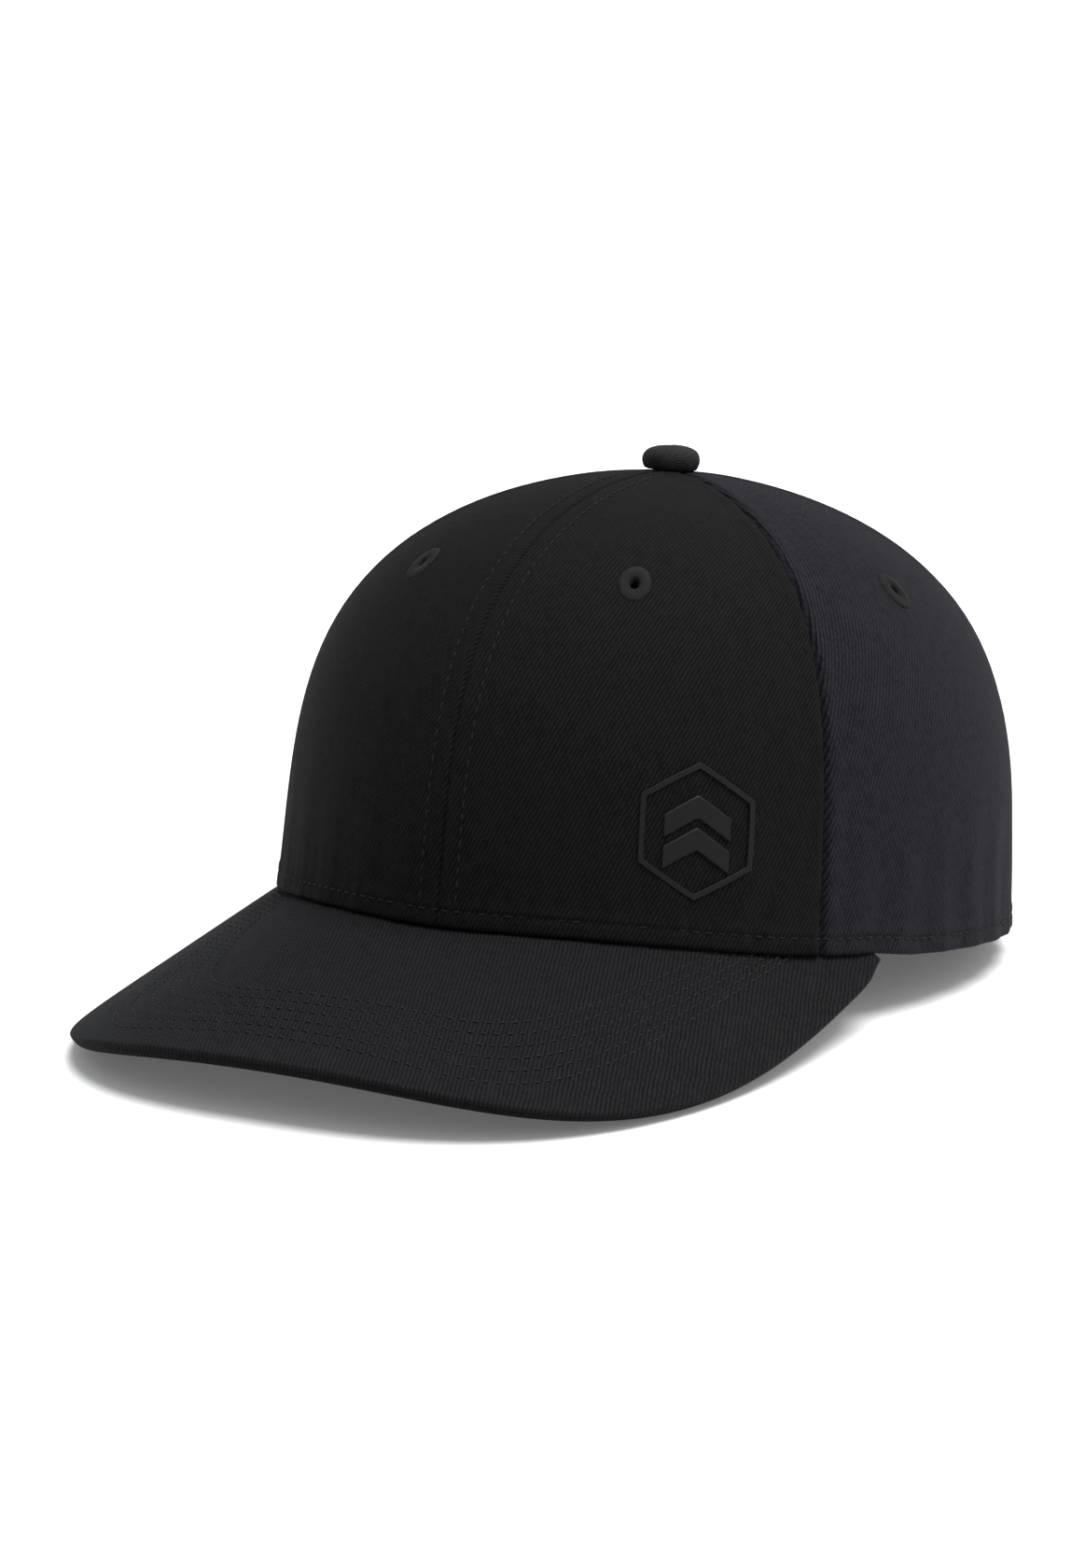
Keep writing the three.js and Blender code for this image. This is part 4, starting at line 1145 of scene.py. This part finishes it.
def add_buckle():
    low, high = STRAP_LOW - 2.6, STRAP_HIGH + 2.6
    span = np.linspace(BUCKLE_FROM, BUCKLE_TO, 30)
    half = math.degrees(1.3 / HALF_WIDTH)
    middle = (BUCKLE_FROM + BUCKLE_TO) / 2
    inner_bar, end_bar = np.linspace(middle - half, middle + half, 6), np.linspace(191.6, BUCKLE_TO, 6)
    slack = 0.3
    end_outer, end_inner = TAB_OUTER[1] + slack, TAB_INNER[0] - slack
    parts = [
        back_strip("rail_low", span, low, low + 1.8, -0.9, METAL_DEPTH, METAL, 0.5),
        back_strip("rail_high", span, high - 1.8, high, -0.9, METAL_DEPTH, METAL, 0.5),
        back_strip("bar_inner", inner_bar, low + 0.3, high - 0.3, METAL_DEPTH - 1, METAL_DEPTH, METAL, 0.35),
        back_strip("bar_end", end_bar, low + 0.3, high - 0.3, end_outer, end_inner, METAL, 0.3),
    ]
    buckle = join(parts, "buckle_frame_metal")
    dress(buckle, "cap", "dark_steel", "buckle_frame")
    pin = round_bar("hinge_pin_metal", 0.6, low, high)
    dress(pin, "cap", "dark_steel", "lever_pin")


def round_bar(name, radius, low, high):
    """A rod along the lever's hinge."""
    at = back_point(PIN_ANGLE, 0.0, 0.0)
    phi = np.linspace(0, 2 * np.pi, 32, endpoint=False)
    rings = []
    for height, share in ((low, 0.75), (low + 0.25, 1), (high - 0.25, 1), (high, 0.75)):
        r = radius * share
        rings.append(np.stack([at[0] + r * np.cos(phi), at[1] + r * np.sin(phi), height + 0 * phi], -1))
    rings = np.stack(rings)
    uv = np.stack(np.broadcast_arrays(phi[None], rings[..., 2]), -1)
    return tube(name, rings, uv, METAL)


def join(parts, name):
    """Joins pieces that touch into one object."""
    bpy.ops.object.select_all(action="DESELECT")
    for part in parts:
        part.select_set(True)
    bpy.context.view_layer.objects.active = parts[0]
    bpy.ops.object.join()
    parts[0].name = name
    parts[0].select_set(False)
    return parts[0]


def add_lever():
    low, high = STRAP_LOW - 0.3, STRAP_HIGH + 0.3
    span, lip_span = np.linspace(PIN_ANGLE + 0.4, LEVER_END, 24), np.linspace(LEVER_END - 0.9, LEVER_END, 6)
    plate = back_strip("plate", span, low, high, -0.5, 0.5, METAL, 0.35)
    lip = back_strip("lip", lip_span, low, high, -1.2, 0.5, METAL, 0.35)
    ribs = []
    for angle in (184.5, 185.7, 186.9):
        across = np.linspace(angle - 0.22, angle + 0.22, 4)
        ribs.append(back_strip("rib", across, low + 3, high - 3, -0.85, 0.2, METAL, 0.2))
    knuckle = round_bar("knuckle", 1.6, low, high)
    lever = join([plate, lip, knuckle, *ribs], "buckle_lever_metal")
    dress(lever, "lever", "dark_steel", "buckle_lever")


def add_tab():
    low, high = STRAP_LOW + 0.2, STRAP_HIGH - 0.2
    both = (TAB_OUTER[0], TAB_INNER[1])
    layers = {
        "outer": (np.linspace(TAB_START, TAB_LAP, 10), TAB_OUTER, 0.2),
        "inner": (np.linspace(TAB_START, TAB_END, 50), TAB_INNER, 0.2),
        "fold": (np.linspace(TAB_START, TAB_START + 0.4, 3), both, 0.3),
        "seam": (np.linspace(TAB_LAP - 0.4, TAB_LAP, 3), both, 0.3),
    }
    parts = [
        back_strip(name, angles, low, high, *depths, TAPE_CLOTH, radius, 8)
        for name, (angles, depths, radius) in layers.items()
    ]
    tab = join(parts, "tab_tape")
    dress(tab, "cap", "cotton_tape", "buckle_tab")
    heights = np.linspace(low + 1, high - 1, 60)
    row = facing_out(back_point(TAB_LAP - 0.55, heights, 0.12))
    dress(stitches("tab_stitches", [row], THREAD, 2.6, 2.0, 0.22, 0.15), "cap", "eyelet_thread")


add_crown()
add_button()
add_badge()
add_visor()
add_sweatband()
add_tapes()
add_shell()
add_band_pads()
add_top_pad()
add_binding()
add_strap()
add_buckle()
add_lever()
add_tab()
frame["nodes"]["button_rivet"].data.materials[0] = METAL

# ---------- Camera, floor and light ----------

AZIMUTH, ELEVATION, ROLL, DISTANCE = 28.137, 13.766, 0.176, 1.16402
LENS, SHIFT_RIGHT, SHIFT_UP = 103.84, -0.0695, 0.076


def add_camera():
    az, el = math.radians(AZIMUTH), math.radians(ELEVATION)
    back = Vector((math.sin(az) * math.cos(el), -math.cos(az) * math.cos(el), math.sin(el)))
    data = bpy.data.cameras.new("camera")
    data.sensor_width = 36
    data.lens = LENS
    data.shift_x = SHIFT_RIGHT
    data.shift_y = SHIFT_UP
    camera = bpy.data.objects.new("camera", data)
    bpy.context.scene.collection.objects.link(camera)
    turn_to = (-back).to_track_quat("-Z", "Y").to_matrix() @ Matrix.Rotation(math.radians(ROLL), 3, "Z")
    camera.matrix_world = Matrix.Translation(Vector(ORIGIN) + back * DISTANCE) @ turn_to.to_4x4()
    bpy.context.scene.camera = camera


def add_floor():
    """A plain white floor, a little luminous as a light table is, so that shadows on it stay pale."""
    reach = 14
    mesh = bpy.data.meshes.new("floor")
    corners = [(-reach, -reach, 0), (reach, -reach, 0), (reach, reach, 0), (-reach, reach, 0)]
    mesh.from_pydata(corners, [], [(0, 1, 2, 3)])
    n = Nodes("pale_floor")
    white = n.blend(n.noise(4), grey(0.78), grey(0.8))
    glow = {"Emission_Color": (1, 1, 1, 1), "Emission_Strength": 0.1}
    mesh.materials.append(n.finish(Base_Color=white, Roughness=0.8, **glow))
    floor = bpy.data.objects.new("floor", mesh)
    bpy.context.scene.collection.objects.link(floor)


def add_world():
    """An even white room, brighter on the camera's right than on its left."""
    world = bpy.data.worlds.new("studio")
    world.use_nodes = True
    tree = world.node_tree
    place = tree.nodes.new("ShaderNodeTexCoord")
    aim = tree.nodes.new("ShaderNodeVectorMath")
    aim.operation = "DOT_PRODUCT"
    aim.inputs[1].default_value = (math.cos(math.radians(AZIMUTH)), math.sin(math.radians(AZIMUTH)), 0)
    level = tree.nodes.new("ShaderNodeMapRange")
    for socket, value in {"From Min": -1.0, "From Max": 1.0, "To Min": 0.3, "To Max": 1.05}.items():
        level.inputs[socket].default_value = value
    background = tree.nodes["Background"]
    background.inputs["Color"].default_value = (0.97, 0.98, 1.0, 1)
    tree.links.new(place.outputs["Generated"], aim.inputs[0])
    tree.links.new(aim.outputs["Value"], level.inputs["Value"])
    tree.links.new(level.outputs["Result"], background.inputs["Strength"])
    bpy.context.scene.world = world


def add_sun():
    """One broad soft light from above and a little to the right; it reaches all of the floor alike."""
    data = bpy.data.lights.new("broad_light", "SUN")
    data.energy, data.angle = 4.2, math.radians(40)
    lamp = bpy.data.objects.new("broad_light", data)
    lamp.rotation_mode = "QUATERNION"
    lamp.rotation_quaternion = (-Vector((0.25, 0.02, 0.96))).to_track_quat("-Z", "Y")
    bpy.context.scene.collection.objects.link(lamp)


add_camera()
add_floor()
add_world()
bpy.context.scene.view_settings.view_transform = "Standard"
add_sun()
